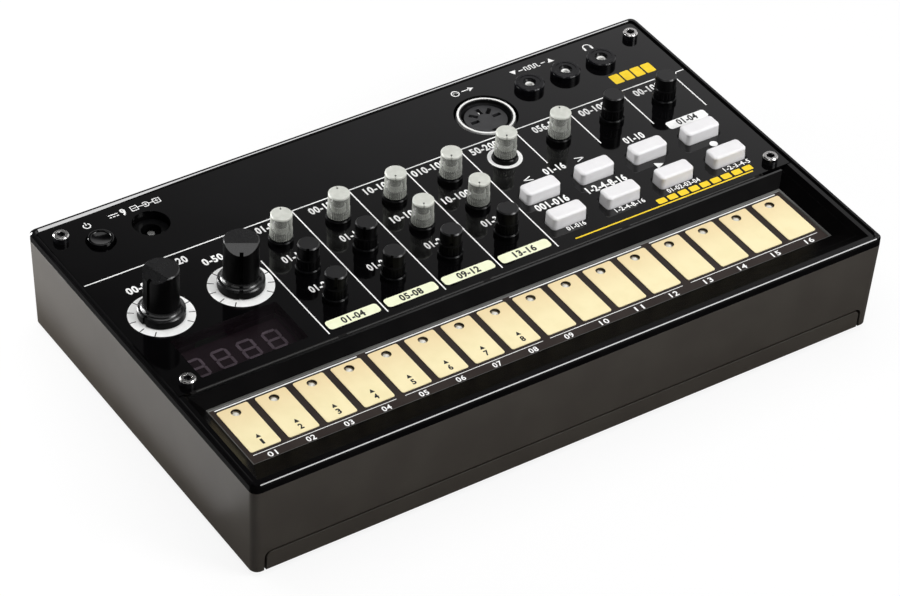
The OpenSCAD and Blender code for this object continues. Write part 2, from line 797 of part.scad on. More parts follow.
module display_window() {
    color([0.2, 0.17, 0.18, 0.5]) at_points([window_at])
        plate(window_w - 2 * glass_gap, window_d - 2 * glass_gap, 0.45, panel_z, top_z);
}

module display_module() {
    half_w = digit_count * digit_pitch / 2 + 0.1;
    half_d = digit_h / 2 + module_rim;
    color("dimgray") at_points([window_at]) span([-half_w, -half_d, board_z], [half_w, half_d, digit_z]);
}

// One upright bar of a digit, with pointed ends, along +Y
module bar(length) {
    tip = bar_w / 2;
    polygon([[0, -length / 2], [tip, -length / 2 + tip], [tip, length / 2 - tip],
        [0, length / 2], [-tip, length / 2 - tip], [-tip, -length / 2 + tip]]);
}

module digit() {
    half_w = (digit_w - bar_w) / 2;
    half_h = (digit_h - bar_w) / 2;
    for (x = [-1, 1], y = [-1, 1]) translate([x * half_w, y * half_h / 2]) bar(half_h - bar_gap);
    for (y = [-1, 0, 1]) translate([0, y * half_h]) rotate(90) bar(2 * half_w - bar_gap);
}

module display_segments() {
    color("gainsboro") at_points([window_at]) translate([-digit_shift, 0, digit_z]) for (i = [0:digit_count - 1])
        translate([(i - (digit_count - 1) / 2) * digit_pitch, 0, 0]) linear_extrude(segment_t) digit();
}

// ---------- boards ----------

module main_board() {
    color("darkgreen") difference() {
        span([-board_w / 2, board_front, board_z - board_t], [board_w / 2, board_rear, board_z]);
        at_points(screw_points) disc(boss_r + 0.5, board_z - board_t - past, board_z + past);
        at_points(post_points) disc(post_screw_r + fit_gap, board_z - board_t - past, board_z + past);
    }
}

module board_screws() {
    under = board_z - board_t;
    color("silver") at_points(post_points) {
        disc(post_screw_r, under - eps, board_z + post_screw_l);
        disc(post_head_r, under - post_head_h, under);
    }
}

module touch_board() {
    color("dimgray") difference() {
        span([-strip_w / 2 - board_reach, strip_front - board_reach, touch_z - touch_t],
            [strip_w / 2 + board_reach, strip_rear + board_reach, touch_z]);
        at_points(lamp_points) disc(lamp_r, touch_z - touch_t - past, touch_z + past);
    }
}

module touch_pads() {
    color("cornsilk") difference() {
        for (i = [0:pad_count - 1]) span([pad_x(i) - pad_w / 2, pad_rear - pad_d, touch_z],
            [pad_x(i) + pad_w / 2, pad_rear, touch_z + pad_t]);
        at_points(lamp_points) disc(lamp_r, touch_z - past, touch_z + past);
    }
}

module step_lamps() {
    under = touch_z - touch_t;
    color("white") at_points(lamp_points) {
        disc(lamp_r - fit_gap, under - eps, touch_z - lamp_sink);
        disc(lamp_r + lamp_flange_w, under - lamp_flange_t, under);
    }
}

// ---------- knobs ----------

module knob_collars() {
    bore = stem_r + move_gap;
    color("black") at_points(small_knob_points) translate([0, 0, top_z]) rotate_extrude()
        polygon([[bore, deck_z - top_z], [collar_spigot_r, deck_z - top_z], [collar_spigot_r, 0],
            [collar_r, 0], [collar_r, collar_h - edge_bevel], [collar_r - edge_bevel, collar_h], [bore, collar_h]]);
}

module pot(size, r) {
    difference() {
        span([-size[0] / 2, -size[1] / 2, board_z], [size[0] / 2, size[1] / 2, deck_z]);
        disc(r + bush_gap, board_z + bore_floor, deck_z + past);
    }
}

module potentiometers() {
    color("darkslategray") {
        at_points(small_knob_points) pot(pot_size, stem_r);
        at_points(large_knob_points) pot(large_pot_size, large_stem_r);
    }
}

// Small knob with a fluted foot and a pointer notch, drawn with its pointer along +X
module small_knob(h) {
    base = collar_h + move_gap;
    foot_top = collar_h + foot_h_small;
    difference() {
        union() {
            translate([0, 0, top_z]) rotate_extrude() polygon([
                [0, base], [small_r + foot_out, base],
                [small_r + foot_out, foot_top], [small_r, foot_top + edge_bevel],
                [small_r, h - edge_bevel], [small_r - edge_bevel, h], [0, h]]);
            disc(stem_r, board_z + stem_rise, top_z + base + eps);
        }
        for (i = [0.5:flute_count]) rotate(i * 360 / flute_count)
            translate([small_r + foot_out + flute_r * 0.7, 0, 0])
                disc(flute_r, top_z, top_z + foot_top - flute_r);
        span([small_r - notch_deep, -notch_w / 2, top_z + foot_top + 2 * edge_bevel],
            [small_r + 1, notch_w / 2, top_z + h + 1]);
    }
}

// Outline of a large knob from its base up: rim, concave flare, slightly tapered body, edge bevel
function large_profile() = concat(
    [[0, move_gap], [skirt_r, move_gap], [skirt_r, skirt_rim - skirt_edge]],
    [for (a = [0:15:90])
        [skirt_r - skirt_edge - (skirt_r - skirt_edge - large_r) * sin(a), skirt_rim + skirt_flare * (1 - cos(a))]],
    [[large_r - large_taper, large_h - edge_bevel], [large_r - large_taper - edge_bevel, large_h], [0, large_h]]
);

// Large knob with a flared skirt, a sloping facet and a pointer groove along +X
module large_knob() {
    facet_start = facet_share * large_r;
    difference() {
        union() {
            translate([0, 0, top_z]) rotate_extrude() polygon(large_profile());
            disc(large_stem_r, board_z + stem_rise, top_z + move_gap + eps);
        }
        translate([facet_start, -skirt_r, top_z + large_h]) rotate([0, facet_tilt, 0])
            cube([3 * large_r, 2 * skirt_r, 2 * large_r]);
        // pointer groove, down the body and then down the skirt
        span([large_r - groove_deep, -pointer_w / 2, top_z + skirt_rim + skirt_flare],
            [skirt_r + 1, pointer_w / 2, top_z + large_h]);
        for (i = [0:3]) span(
            [skirt_r - groove_shallow - i * (skirt_r - large_r) / 3, -pointer_w / 2, top_z + groove_step(i)],
            [skirt_r + 1, pointer_w / 2, top_z + skirt_rim + skirt_flare + eps]);
    }
}

// Level at which the groove steps in, as the flare narrows
function groove_step(i) = i == 0 ? 0 : skirt_rim - skirt_edge + skirt_flare * (i / 3) * (i / 3);

// Pointer angles as the knobs stand: 240 is fully left, 90 straight back, -60 fully right
module knob_at(p, pointer) {
    translate([p[0], p[1], 0]) rotate(pointer) children();
}

module clear_knob(column, row) {
    color([0.9, 0.9, 0.88, 0.6]) knob_at([column_x(column), row_y(row)], 235) small_knob(clear_h);
}

module black_knob(column, row, pointer) {
    color("black") knob_at([column_x(column), row_y(row)], pointer) small_knob(black_h);
}

module time_knob() {
    color("black") knob_at(large_knob_points[0], 196) large_knob();
}

module depth_knob() {
    color("black") knob_at(large_knob_points[1], 240) large_knob();
}

// ---------- keys and switches ----------

module key(i) {
    color("white") at_points([key_points[i]]) {
        soft_block(key_w, key_d, flange_z, top_z + key_h, key_r, key_edge);
        plate(key_w + 2 * flange_w, key_d + 2 * flange_w, 0.9, flange_z, flange_z + flange_t);
        disc(key_stem_r, board_z + stem_rise, flange_z + eps);
    }
}

module key_switches() {
    color("darkslategray") at_points(key_points) difference() {
        plate(switch_size, switch_size, 0.4, board_z, board_z + switch_h);
        disc(key_stem_r + bush_gap, board_z + bore_floor, board_z + switch_h + past);
    }
}

module power_button() {
    color("black") at_points([power_at]) {
        dished_disc(power_r, flange_z, top_z + power_h);
        disc(power_hole_r + flange_w / 2, flange_z, flange_z + flange_t);
        disc(power_stem_r, board_z + bore_floor + power_travel, flange_z + eps);
    }
}

module power_switch() {
    color("darkslategray") at_points([power_at]) difference() {
        plate(power_switch_size, power_switch_size, 0.4, board_z, board_z + power_switch_h);
        disc(power_stem_r + bush_gap, board_z + bore_floor - move_gap, board_z + power_switch_h + past);
    }
}

// ---------- sockets ----------

module midi_socket() {
    slot_r = din_core_r + din_slot;
    slot_z = top_z - din_slot_deep;
    color("dimgray") at_points([din_at]) difference() {
        disc(slot_r + din_ring_w + din_shelf, board_z, top_z - din_seat);
        difference() {
            disc(slot_r, top_z - 8, top_z);
            disc(din_core_r, top_z - 9, top_z);
        }
        din_contact_slots(slot_z, top_z, din_slot_w, din_slot_l);
        // key of the plug
        span([-din_slot_w, -din_core_r - 0.5, slot_z], [din_slot_w, din_slot_w - din_core_r, top_z]);
    }
}

module din_contact_slots(z0, z1, w, l) {
    for (a = [0:45:180]) rotate(a) translate([din_pin_circle, 0, 0]) span([-l / 2, -w / 2, z0], [l / 2, w / 2, z1]);
}

module midi_ring() {
    inner = din_core_r + din_slot;
    color("white") at_points([din_at]) difference() {
        disc(inner + din_ring_w, top_z - din_seat, top_z - 0.1);
        disc(inner, top_z - din_seat - past, top_z + past);
    }
}

module midi_contacts() {
    z0 = top_z - din_slot_deep;
    color("silver") at_points([din_at]) din_contact_slots(z0, z0 + din_contact_h, din_contact_w, din_contact_l);
}

module audio_jacks() {
    barrel_top = top_z + nut_h - 0.1;
    color("black") at_points(jack_points) difference() {
        union() {
            span([-jack_body[0] / 2, -jack_body[1] / 2, board_z], [jack_body[0] / 2, jack_body[1] / 2, deck_z]);
            disc(jack_barrel_r, deck_z - eps, barrel_top);
        }
        disc(jack_bore_r, barrel_top - jack_bore_depth, barrel_top + past);
    }
}

module jack_nuts() {
    color("dimgray") at_points(jack_points) difference() {
        bevelled_disc(nut_r, top_z, top_z + nut_h);
        disc(jack_barrel_r, top_z - past, top_z + nut_h + past);
    }
}

module dc_jack() {
    face = top_z - dc_sink;
    color("dimgray") at_points([dc_at]) difference() {
        union() {
            disc(dc_hole_r - fit_gap, deck_z - 2, face);
            span([-dc_body[0] / 2, -dc_body[1] / 2, board_z], [dc_body[0] / 2, dc_body[1] / 2, deck_z - 1]);
        }
        disc(dc_bore_r, face - dc_depth, face + past);
    }
}

module dc_pin() {
    face = top_z - dc_sink;
    color("silver") at_points([dc_at]) disc(dc_pin_r, face - dc_depth, face - 0.8);
}

case_tub();
battery_door();
door_feet();
rear_feet();
battery_contacts();
speaker();
top_cover();
control_panel();
panel_screws();
display_window();
display_module();
display_segments();
main_board();
board_screws();
touch_board();
touch_pads();
step_lamps();
potentiometers();
knob_collars();
key_switches();
power_switch();
midi_socket();
midi_ring();
midi_contacts();
audio_jacks();
jack_nuts();
dc_jack();
dc_pin();
time_knob();
depth_knob();
clear_knob(0, 0);  // kick_click_knob
black_knob(0, 1, 235);  // kick_pitch_knob
black_knob(0, 2, 239);  // kick_decay_knob
clear_knob(1, 0);  // snare_snap_knob
black_knob(1, 1, 228);  // snare_pitch_knob
black_knob(1, 2, 225);  // snare_decay_knob
clear_knob(2, 0);  // tom_high_knob
clear_knob(2, 1);  // tom_low_knob
black_knob(2, 2, 240);  // tom_decay_knob
clear_knob(3, 0);  // hat_closed_knob
clear_knob(3, 1);  // hat_open_knob
black_knob(3, 2, 79);  // hat_grain_knob
clear_knob(4, 0);  // sample_speed_knob
clear_knob(5, 0);  // tempo_knob
black_knob(6, 0, 14);  // part_level_knob
black_knob(7, 0, -11);  // volume_knob
key(0);  // part_back_key
key(1);  // part_next_key
key(2);  // mute_key
key(3);  // function_key
key(4);  // memory_key
key(5);  // step_mode_key
key(6);  // play_key
key(7);  // record_key
power_button();
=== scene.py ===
"""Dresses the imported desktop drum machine: finishes, print, clear knobs, keys, pads, light and camera."""
import logging
import math
from dataclasses import dataclass, replace
from enum import Enum
from typing import Callable, Sequence

import bpy
from mathutils import Matrix, Vector
from mathutils.geometry import tessellate_polygon


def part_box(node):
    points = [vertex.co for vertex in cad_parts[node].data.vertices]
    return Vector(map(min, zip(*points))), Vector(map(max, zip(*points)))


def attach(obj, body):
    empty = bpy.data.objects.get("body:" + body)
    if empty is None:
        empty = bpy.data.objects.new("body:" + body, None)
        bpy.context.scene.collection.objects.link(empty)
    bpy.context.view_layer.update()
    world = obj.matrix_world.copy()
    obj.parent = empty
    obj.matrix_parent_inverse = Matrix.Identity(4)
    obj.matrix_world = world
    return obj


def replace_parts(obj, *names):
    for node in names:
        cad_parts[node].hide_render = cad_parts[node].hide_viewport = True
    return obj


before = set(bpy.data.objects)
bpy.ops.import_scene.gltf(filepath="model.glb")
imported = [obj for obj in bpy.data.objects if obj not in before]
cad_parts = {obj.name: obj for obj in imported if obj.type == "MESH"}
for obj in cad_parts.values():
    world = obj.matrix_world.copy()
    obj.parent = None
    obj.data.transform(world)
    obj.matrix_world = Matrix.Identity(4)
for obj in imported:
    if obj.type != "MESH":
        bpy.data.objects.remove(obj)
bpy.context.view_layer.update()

LOG = logging.getLogger("drum_machine")
MM = 0.001
Rgb = tuple[float, float, float]
Point = tuple[float, float]
Point3 = tuple[float, float, float]
Span = tuple[float, float]
CLOUD_EDGES: Span = (0.35, 0.7)     # noise at which a colour patch starts and is full
ROUGH_PATCH = 0.6                   # size of the roughness patches, beside the colour's
STEP = 0.02                         # smallest rise between two layers of a stacked solid
FONT_HEIGHT = 0.72                  # height of a digit at font size 1
FONT_SPACE = 1.1                    # spacing of the digits


# ---------------------------------------------------------------- shader expressions

class Signal:
    """An output socket of a node tree that adds Math nodes as it is used in expressions."""

    def __init__(self, graph: "Graph", socket: bpy.types.NodeSocket) -> None:
        """Keeps the socket with the graph it belongs to."""
        self.graph = graph
        self.socket = socket

    def _math(self, operation: str, *terms: "Signal | float") -> "Signal":
        """Adds one Math node of that operation."""
        return self.graph.node("ShaderNodeMath", {"operation": operation}, dict(enumerate(terms)))

    def __add__(self, other: "Signal | float") -> "Signal":
        """self + other."""
        return self._math("ADD", self, other)

    __radd__ = __add__

    def __sub__(self, other: "Signal | float") -> "Signal":
        """self - other."""
        return self._math("SUBTRACT", self, other)

    def __rsub__(self, other: float) -> "Signal":
        """other - self."""
        return self._math("SUBTRACT", other, self)

    def __mul__(self, other: "Signal | float") -> "Signal":
        """self * other."""
        return self._math("MULTIPLY", self, other)

    __rmul__ = __mul__

    def __truediv__(self, other: "Signal | float") -> "Signal":
        """self / other."""
        return self._math("DIVIDE", self, other)

    def __gt__(self, other: "Signal | float") -> "Signal":
        """1 where self is above other."""
        return self._math("GREATER_THAN", self, other)

    def __lt__(self, other: "Signal | float") -> "Signal":
        """1 where self is below other."""
        return self._math("LESS_THAN", self, other)

    def __abs__(self) -> "Signal":
        """Size of self without its sign."""
        return self._math("ABSOLUTE", self)

    def clamp(self) -> "Signal":
        """self, kept between 0 and 1."""
        return self.graph.node("ShaderNodeClamp", None, {"Value": self})

    def sine(self) -> "Signal":
        """Sine of self."""
        return self._math("SINE", self)

    def ramp(self, low: float, high: float) -> "Signal":
        """Smooth step from 0 at low to 1 at high.

        Args:
            low: Value at which the step starts.
            high: Value at which it ends.

        Returns:
            The signal of the step.
        """
        return self.graph.node(
            "ShaderNodeMapRange", {"interpolation_type": "SMOOTHSTEP", "clamp": True},
            {"Value": self, "From Min": low, "From Max": high})


class Graph:
    """The node tree of one material or of the world."""

    def __init__(self, tree: bpy.types.NodeTree) -> None:
        """Empties the tree."""
        self.tree = tree
        tree.nodes.clear()

    def node(self, kind: str, settings: dict | None = None, inputs: dict | None = None,
             output: int | str = 0) -> Signal:
        """Adds one node.

        Args:
            kind: Type of the node.
            settings: Its properties, which are set first.
            inputs: Values or signals by the name or number of the socket.
            output: Name or number of the socket that is returned.

        Returns:
            That output as a signal.
        """
        made = self.tree.nodes.new(kind)
        for name, value in (settings or {}).items():
            setattr(made, name, value)
        for name, value in (inputs or {}).items():
            if isinstance(value, Signal):
                self.tree.links.new(value.socket, made.inputs[name])
            elif isinstance(value, tuple) and len(value) == 3 and made.inputs[name].type == "RGBA":
                made.inputs[name].default_value = (*value, 1.0)
            else:
                made.inputs[name].default_value = value
        return Signal(self, made.outputs[output])

    def output(self, kind: str, shader: Signal) -> None:
        """Ends the tree in one output node.

        Args:
            kind: Type of the output node.
            shader: What it shows.
        """
        made = self.tree.nodes.new(kind)
        self.tree.links.new(shader.socket, made.inputs["Surface"])

    def mix(self, factor: Signal, low: "Signal | Rgb", high: "Signal | Rgb") -> Signal:
        """Blends two colours.

        Args:
            factor: 0 for the first and 1 for the second.
            low: First colour.
            high: Second colour.

        Returns:
            The blended colour.
        """
        return self.node("ShaderNodeMix", {"data_type": "RGBA"}, {0: factor, 6: low, 7: high}, 2)

    def place(self) -> Signal:
        """Returns the object coordinates, in metres."""
        return self.node("ShaderNodeTexCoord", output="Object")

    def axis(self, name: str) -> Signal:
        """Returns one object coordinate in millimetres."""
        return self.node("ShaderNodeSeparateXYZ", inputs={0: self.place()}, output=name) / MM

    def levelness(self) -> Signal:
        """Returns how level the face is: 1 where it is level and 0 where it is upright."""
        normal = self.node("ShaderNodeNewGeometry", output="True Normal")
        return abs(self.node("ShaderNodeSeparateXYZ", inputs={0: normal}, output="Z"))

    def noise(self, size: float, detail: float = 2.0, stretch: Point3 = (1, 1, 1)) -> Signal:
        """Cloudy noise.

        Args:
            size: Size of its patches in millimetres.
            detail: Octaves of finer noise in it.
            stretch: Factor of each axis, above 1 for a finer pattern along it.

        Returns:
            The noise, about 0.25 to 0.75.
        """
        scaled = self.node("ShaderNodeMapping", {"vector_type": "POINT"},
                           {"Vector": self.place(), "Scale": stretch})
        return self.node("ShaderNodeTexNoise", None,
                         {"Vector": scaled, "Scale": 1 / (size * MM), "Detail": detail})


# ---------------------------------------------------------------- finishes

@dataclass(frozen=True)
class Finish:
    """Look of one moulded, printed or plated surface, with sizes in millimetres.

    Attributes:
        name: Name of the material.
        color: Main colour.
        cloud: Colour of its faint patches.
        cloud_size: Size of the patches.
        rough: Roughness.
        rough_spread: How much the roughness varies over the patches.
        grain: Size of the surface grain.
        grain_depth: Depth of the grain.
        edge: Radius that edges are softened by.
        metallic: Metallic share.
        specular: Level of the surface's mirror, 0.5 for plain plastic.
        alpha: Opacity.
    """

    name: str
    color: Rgb
    cloud: Rgb
    cloud_size: float = 6.0
    rough: float = 0.4
    rough_spread: float = 0.06
    grain: float = 0.3
    grain_depth: float = 0.004
    edge: float = 0.0
    metallic: float = 0.0
    specular: float = 0.5
    alpha: float = 1.0

    def base_color(self, graph: Graph) -> Signal:
        """Returns the colour over the surface."""
        return graph.mix(graph.noise(self.cloud_size, 3).ramp(*CLOUD_EDGES), self.color, self.cloud)

    def roughness(self, graph: Graph) -> Signal:
        """Returns the roughness over the surface."""
        return self.rough + self.rough_spread * (graph.noise(self.cloud_size * ROUGH_PATCH, 4) - 0.5)

    def metal(self, graph: Graph) -> "Signal | float":
        """Returns the metallic share over the surface."""
        return self.metallic

    def opacity(self, graph: Graph) -> "Signal | float":
        """Returns the opacity over the surface."""
        return self.alpha

    def relief(self, graph: Graph) -> Signal:
        """Returns the height of the grain."""
        return graph.noise(self.grain, 2)

    def normal(self, graph: Graph) -> Signal:
        """Returns the normal with softened edges and grain."""
        inputs = {"Height": self.relief(graph), "Strength": 1.0, "Distance": self.grain_depth * MM}
        if self.edge:
            inputs["Normal"] = graph.node("ShaderNodeBevel", {"samples": 4}, {"Radius": self.edge * MM})
        return graph.node("ShaderNodeBump", None, inputs)

    def surface(self, graph: Graph) -> Signal:
        """Returns the shader of the finish."""
        return graph.node("ShaderNodeBsdfPrincipled", None, {
            "Base Color": self.base_color(graph), "Roughness": self.roughness(graph),
            "Normal": self.normal(graph), "Metallic": self.metal(graph),
            "Specular IOR Level": self.specular, "Alpha": self.opacity(graph)})

    def material(self) -> bpy.types.Material:
        """Builds the material once.

        Returns:
            The material, the same one for each call on an equal finish.
        """
        if self.name in bpy.data.materials:
            return bpy.data.materials[self.name]
        made = bpy.data.materials.new(self.name)
        made.use_nodes = True
        graph = Graph(made.node_tree)
        graph.output("ShaderNodeOutputMaterial", self.surface(graph))
        return made


@dataclass(frozen=True)
class SidedFinish(Finish):
    """Moulding whose upright sides have a finish of their own.

    Attributes:
        side: Finish of the sides.
        steep: Levelness of a face, 1 for a level one, below which it is a side.
        side_top: Height in millimetres below which all faces have the finish of the sides.
    """

    side: Finish | None = None
    steep: float = 0.3
    side_top: float = 0.0

    def sides(self, graph: Graph) -> Signal:
        """Returns 1 on the sides."""
        return ((graph.levelness() < self.steep) + (graph.axis("Z") < self.side_top)).clamp()

    def surface(self, graph: Graph) -> Signal:
        """Returns the finish, with the other one on its sides."""
        return graph.node("ShaderNodeMixShader", None, {
            0: self.sides(graph), 1: super().surface(graph), 2: self.side.surface(graph)})


@dataclass(frozen=True)
class CoverFinish(SidedFinish):
    """Polished cover with duller sides and slopes, whose bevels shine in a line that widens at one corner.

    Attributes:
        level: Height in millimetres above which a bevel shines.
        flat: Levelness of a face from which it is no bevel.
        corner: How far the shine reaches down at the rear left corner.
        leftward: Distances to the left between which that reach grows.
        rearward: Distances to the rear between which it grows.
    """

    level: float = 31.2
    flat: float = 0.97
    corner: float = 0.5
    leftward: Span = (35.0, 95.0)
    rearward: Span = (40.0, 50.0)

    def sides(self, graph: Graph) -> Signal:
        """Returns 1 on the upright sides, the slopes of the strip and the lower part of the bevels."""
        face = graph.levelness()
        left, rear = (0 - graph.axis("X")).ramp(*self.leftward), graph.axis("Y").ramp(*self.rearward)
        lower = graph.axis("Z") < self.level - left * rear * self.corner
        return ((face < self.steep) + (face < self.flat) * lower).clamp()


@dataclass(frozen=True)
class RingFinish(Finish):
    """Round part that is black up to a radius and has the finish's own colour outside it.

    Attributes:
        centre: Middle of the part, in millimetres.
        inner: The radius.
        dark: The black.
    """

    centre: Point = (0.0, 0.0)
    inner: float = 1.0
    dark: Rgb = (0.003, 0.003, 0.003)

    def base_color(self, graph: Graph) -> Signal:
        """Returns black inside and the colour outside."""
        across, along = graph.axis("X") - self.centre[0], graph.axis("Y") - self.centre[1]
        outside = (across * across + along * along) > self.inner ** 2
        return graph.mix(outside, self.dark, super().base_color(graph))


@dataclass(frozen=True)
class PadFinish(Finish):
    """Cream touch pad, a little warmer and deeper towards its rear edge.

    Attributes:
        warm: Colour that it turns to.
        share: How much of that colour shows at the rear edge.
        rear: Place of the rear edge.
        front: Place where the change starts.
    """

    warm: Rgb = (0.84, 0.66, 0.38)
    share: float = 0.8
    rear: float = -23.6
    front: float = -37.0

    def base_color(self, graph: Graph) -> Signal:
        """Returns the cream, warmer at the rear."""
        return graph.mix(graph.axis("Y").ramp(self.front, self.rear) * self.share,
                         super().base_color(graph), self.warm)


@dataclass(frozen=True)
class BoardFinish(Finish):
    """Printed board under a lacquer, with a faint weave.

    Attributes:
        weave: Length of one wave of the weave.
        weave_share: Height of the weave beside that of the grain.
    """

    weave: float = 0.7
    weave_share: float = 0.3

    def relief(self, graph: Graph) -> Signal:
        """Returns the height of the weave."""
        turn = 2 * math.pi / self.weave
        waves = (graph.axis("X") * turn).sine() * (graph.axis("Y") * turn).sine()
        return waves * self.weave_share + super().relief(graph)


@dataclass(frozen=True)
class BrushedFinish(Finish):
    """Plated or turned part with fine lines.

    Attributes:
        lines: How much finer the noise is along each axis.
    """

    lines: Point3 = (1, 1, 12)

    def relief(self, graph: Graph) -> Signal:
        """Returns the height of the lines."""
        return graph.noise(self.grain, 2, self.lines)


@dataclass(frozen=True)
class ScrewFinish(BrushedFinish):
    """Blackened screw whose head is painted as bright steel around its top, a painted highlight on its rim.

    Attributes:
        bright: Colour of the painted highlight, bright steel.
        shine_span: Heights in millimetres between which the black turns to the painted highlight.
    """

    bright: Rgb = (0.62, 0.61, 0.60)
    shine_span: Span = (32.35, 32.65)

    def base_color(self, graph: Graph) -> Signal:
        """Returns black, with a painted highlight of bright steel near the top of the head."""
        return graph.mix(self.metal(graph), super().base_color(graph), self.bright)

    def metal(self, graph: Graph) -> Signal:
        """Returns metal near the top of the head."""
        return graph.axis("Z").ramp(*self.shine_span)


@dataclass(frozen=True)
class BandFinish(BrushedFinish):
    """Dark turned part with a bright band round it.

    Attributes:
        bright: Colour of the band.
        low: Height in millimetres where the band starts.
        high: Height where it ends.
    """

    bright: Rgb = (0.62, 0.63, 0.59)
    low: float = 34.2
    high: float = 35.9

    def base_color(self, graph: Graph) -> Signal:
        """Returns the dark colour, bright in the band."""
        height = graph.axis("Z")
        return graph.mix((height > self.low) * (height < self.high), super().base_color(graph), self.bright)


@dataclass(frozen=True)
class AcrylicFinish(Finish):
    """Smoky clear acrylic, denser where it is seen edge on and lighter there by a painted sheen.

    Attributes:
        rim: Colour of its edges, a painted sheen.
        rim_alpha: Opacity of its edges.
        turn: Turn away from the eye between which a wall becomes an edge.
    """

    rim: Rgb = (0.62, 0.63, 0.58)
    rim_alpha: float = 0.9
    turn: Span = (0.35, 0.95)

    def facing(self, graph: Graph) -> Signal:
        """Returns 0 where the wall faces the eye and 1 at its edges."""
        return graph.node("ShaderNodeLayerWeight", None, {"Blend": 0.5}, "Facing").ramp(*self.turn)

    def base_color(self, graph: Graph) -> Signal:
        """Returns the grey, lighter at the edges by a painted sheen."""
        return graph.mix(self.facing(graph), super().base_color(graph), self.rim)

    def opacity(self, graph: Graph) -> Signal:
        """Returns the opacity, higher at the edges."""
        return self.alpha + (self.rim_alpha - self.alpha) * self.facing(graph)


SATIN_CASE = Finish("satin_case", (0.029, 0.024, 0.019), (0.034, 0.029, 0.023), 14, 0.46, 0.05,
                    0.28, 0.006, 0.3, specular=0.3)
COVER_SIDE = Finish("cover_side", (0.0016, 0.0015, 0.0016), (0.0026, 0.0024, 0.0025), 9, 0.26, 0.05,
                    2.5, 0.0005, specular=0.006)
GLOSS_COVER = CoverFinish("polished_cover", (0.0012, 0.0011, 0.0013), (0.0020, 0.0018, 0.0022), 22, 0.09,
                          0.04, 2.5, 0.0005, side=COVER_SIDE)
GLOSS_PANEL = Finish("polished_panel", (0.0012, 0.0011, 0.0013), (0.0020, 0.0019, 0.0022), 22, 0.065, 0.04,
                     2.5, 0.0005)
KNOB_SIDE = Finish("knob_side", (0.0012, 0.0012, 0.0013), (0.0022, 0.0021, 0.0023), 3, 0.34, 0.06, 0.2, 0.003,
                   specular=0.05)
LARGE_KNOB = SidedFinish("satin_large_knob", (0.0022, 0.0022, 0.0025), (0.0034, 0.0034, 0.0038), 3, 0.27,
                         0.06, 0.2, 0.003, side=KNOB_SIDE, steep=0.15)
SMALL_KNOB = replace(LARGE_KNOB, name="satin_black_knob", rough=0.30, steep=0.3, side_top=37.5)
COLLAR_BLACK = SidedFinish("collar_black", (0.0022, 0.0022, 0.0025), (0.004, 0.004, 0.0044), 2, 0.22, 0.06,
                           0.2, 0.002, specular=0.12, side=KNOB_SIDE)
BUTTON_BLACK = Finish("button_black", (0.0016, 0.0016, 0.0018), (0.0028, 0.0028, 0.003), 2, 0.14, 0.04,
                      0.2, 0.001, specular=0.25)
WHITE_KEY = Finish("white_key", (0.82, 0.81, 0.82), (0.79, 0.78, 0.79), 4, 0.38, 0.05, 0.25, 0.003,
                   specular=0.3)
# the lighter colour where a wall is seen edge on is a painted sheen; the higher opacity there is real
CLEAR_BODY = AcrylicFinish("clear_acrylic", (0.30, 0.31, 0.28), (0.37, 0.38, 0.35), 3, 0.18, 0.05, 0.3, 0.001,
                           alpha=0.48)
CLEAR_TOP = Finish("clear_knob_top", (0.56, 0.57, 0.52), (0.63, 0.64, 0.59), 1.6, 0.30, 0.06, 0.2, 0.004)
CORE_RIB = BandFinish("knurled_core", (0.10, 0.10, 0.095), (0.17, 0.17, 0.16), 1, 0.22, 0.05, 0.2, 0.004)
RUBBER = Finish("black_rubber", (0.018, 0.018, 0.018), (0.026, 0.026, 0.026), 2, 0.82, 0.08, 0.25, 0.02, 0.2)
SMOKED = Finish("smoked_window", (0.005, 0.003, 0.004), (0.008, 0.005, 0.007), 9, 0.05, 0.02, 3, 0.0004,
                alpha=0.36)
DISPLAY_FACE = Finish("display_face", (0.022, 0.011, 0.016), (0.030, 0.016, 0.022), 5, 0.4, 0.05, 0.2, 0.003)
SEGMENT = Finish("unlit_segment", (0.30, 0.23, 0.28), (0.34, 0.27, 0.32), 1.5, 0.45, 0.05, 0.2, 0.002)
TOUCH_BOARD = BoardFinish("touch_board_lacquer", (0.020, 0.013, 0.011), (0.027, 0.019, 0.016), 9, 0.34, 0.05,
                          0.4, 0.002, specular=0.25)
PAD = PadFinish("cream_pad", (0.93, 0.82, 0.50), (0.89, 0.78, 0.46), 5, 0.32, 0.06, 0.3, 0.003)
LAMP = Finish("lamp_dome", (0.66, 0.64, 0.58), (0.78, 0.76, 0.70), 0.7, 0.14, 0.05, 0.2, 0.004)
LAMP_RING = Finish("lamp_ring", (0.115, 0.090, 0.050), (0.16, 0.125, 0.07), 0.7, 0.3, 0.05, 0.2, 0.004)
# light grey of the bead: a painted highlight along the foot of the strip's slopes
HIGHLIGHT_BEAD = Finish("strip_bead_painted_highlight", (0.045, 0.045, 0.042), (0.060, 0.060, 0.055), 6, 0.42, 0.05, 0.25, 0.003)
GREEN_BOARD = BoardFinish("green_board", (0.012, 0.10, 0.035), (0.018, 0.13, 0.05), 8, 0.35, 0.05, 0.4, 0.003)
DARK_PART = Finish("dark_moulding", (0.012, 0.012, 0.013), (0.018, 0.018, 0.019), 3, 0.4, 0.06,
                   0.25, 0.004, 0.12)
DARK_WELL = Finish("dark_well", (0.0022, 0.0022, 0.0024), (0.0036, 0.0036, 0.004), 3, 0.3, 0.06, 0.25, 0.002,
                   specular=0.2)
SOCKET_CORE = Finish("socket_core", (0.022, 0.022, 0.024), (0.030, 0.030, 0.032), 3, 0.42, 0.06,
                     0.25, 0.004, 0.12)
RING_WHITE = RingFinish("socket_ring", (0.90, 0.90, 0.88), (0.84, 0.84, 0.82), 2, 0.3, 0.05, 0.2, 0.003,
                        centre=(35.2, 40.0), inner=7.45)
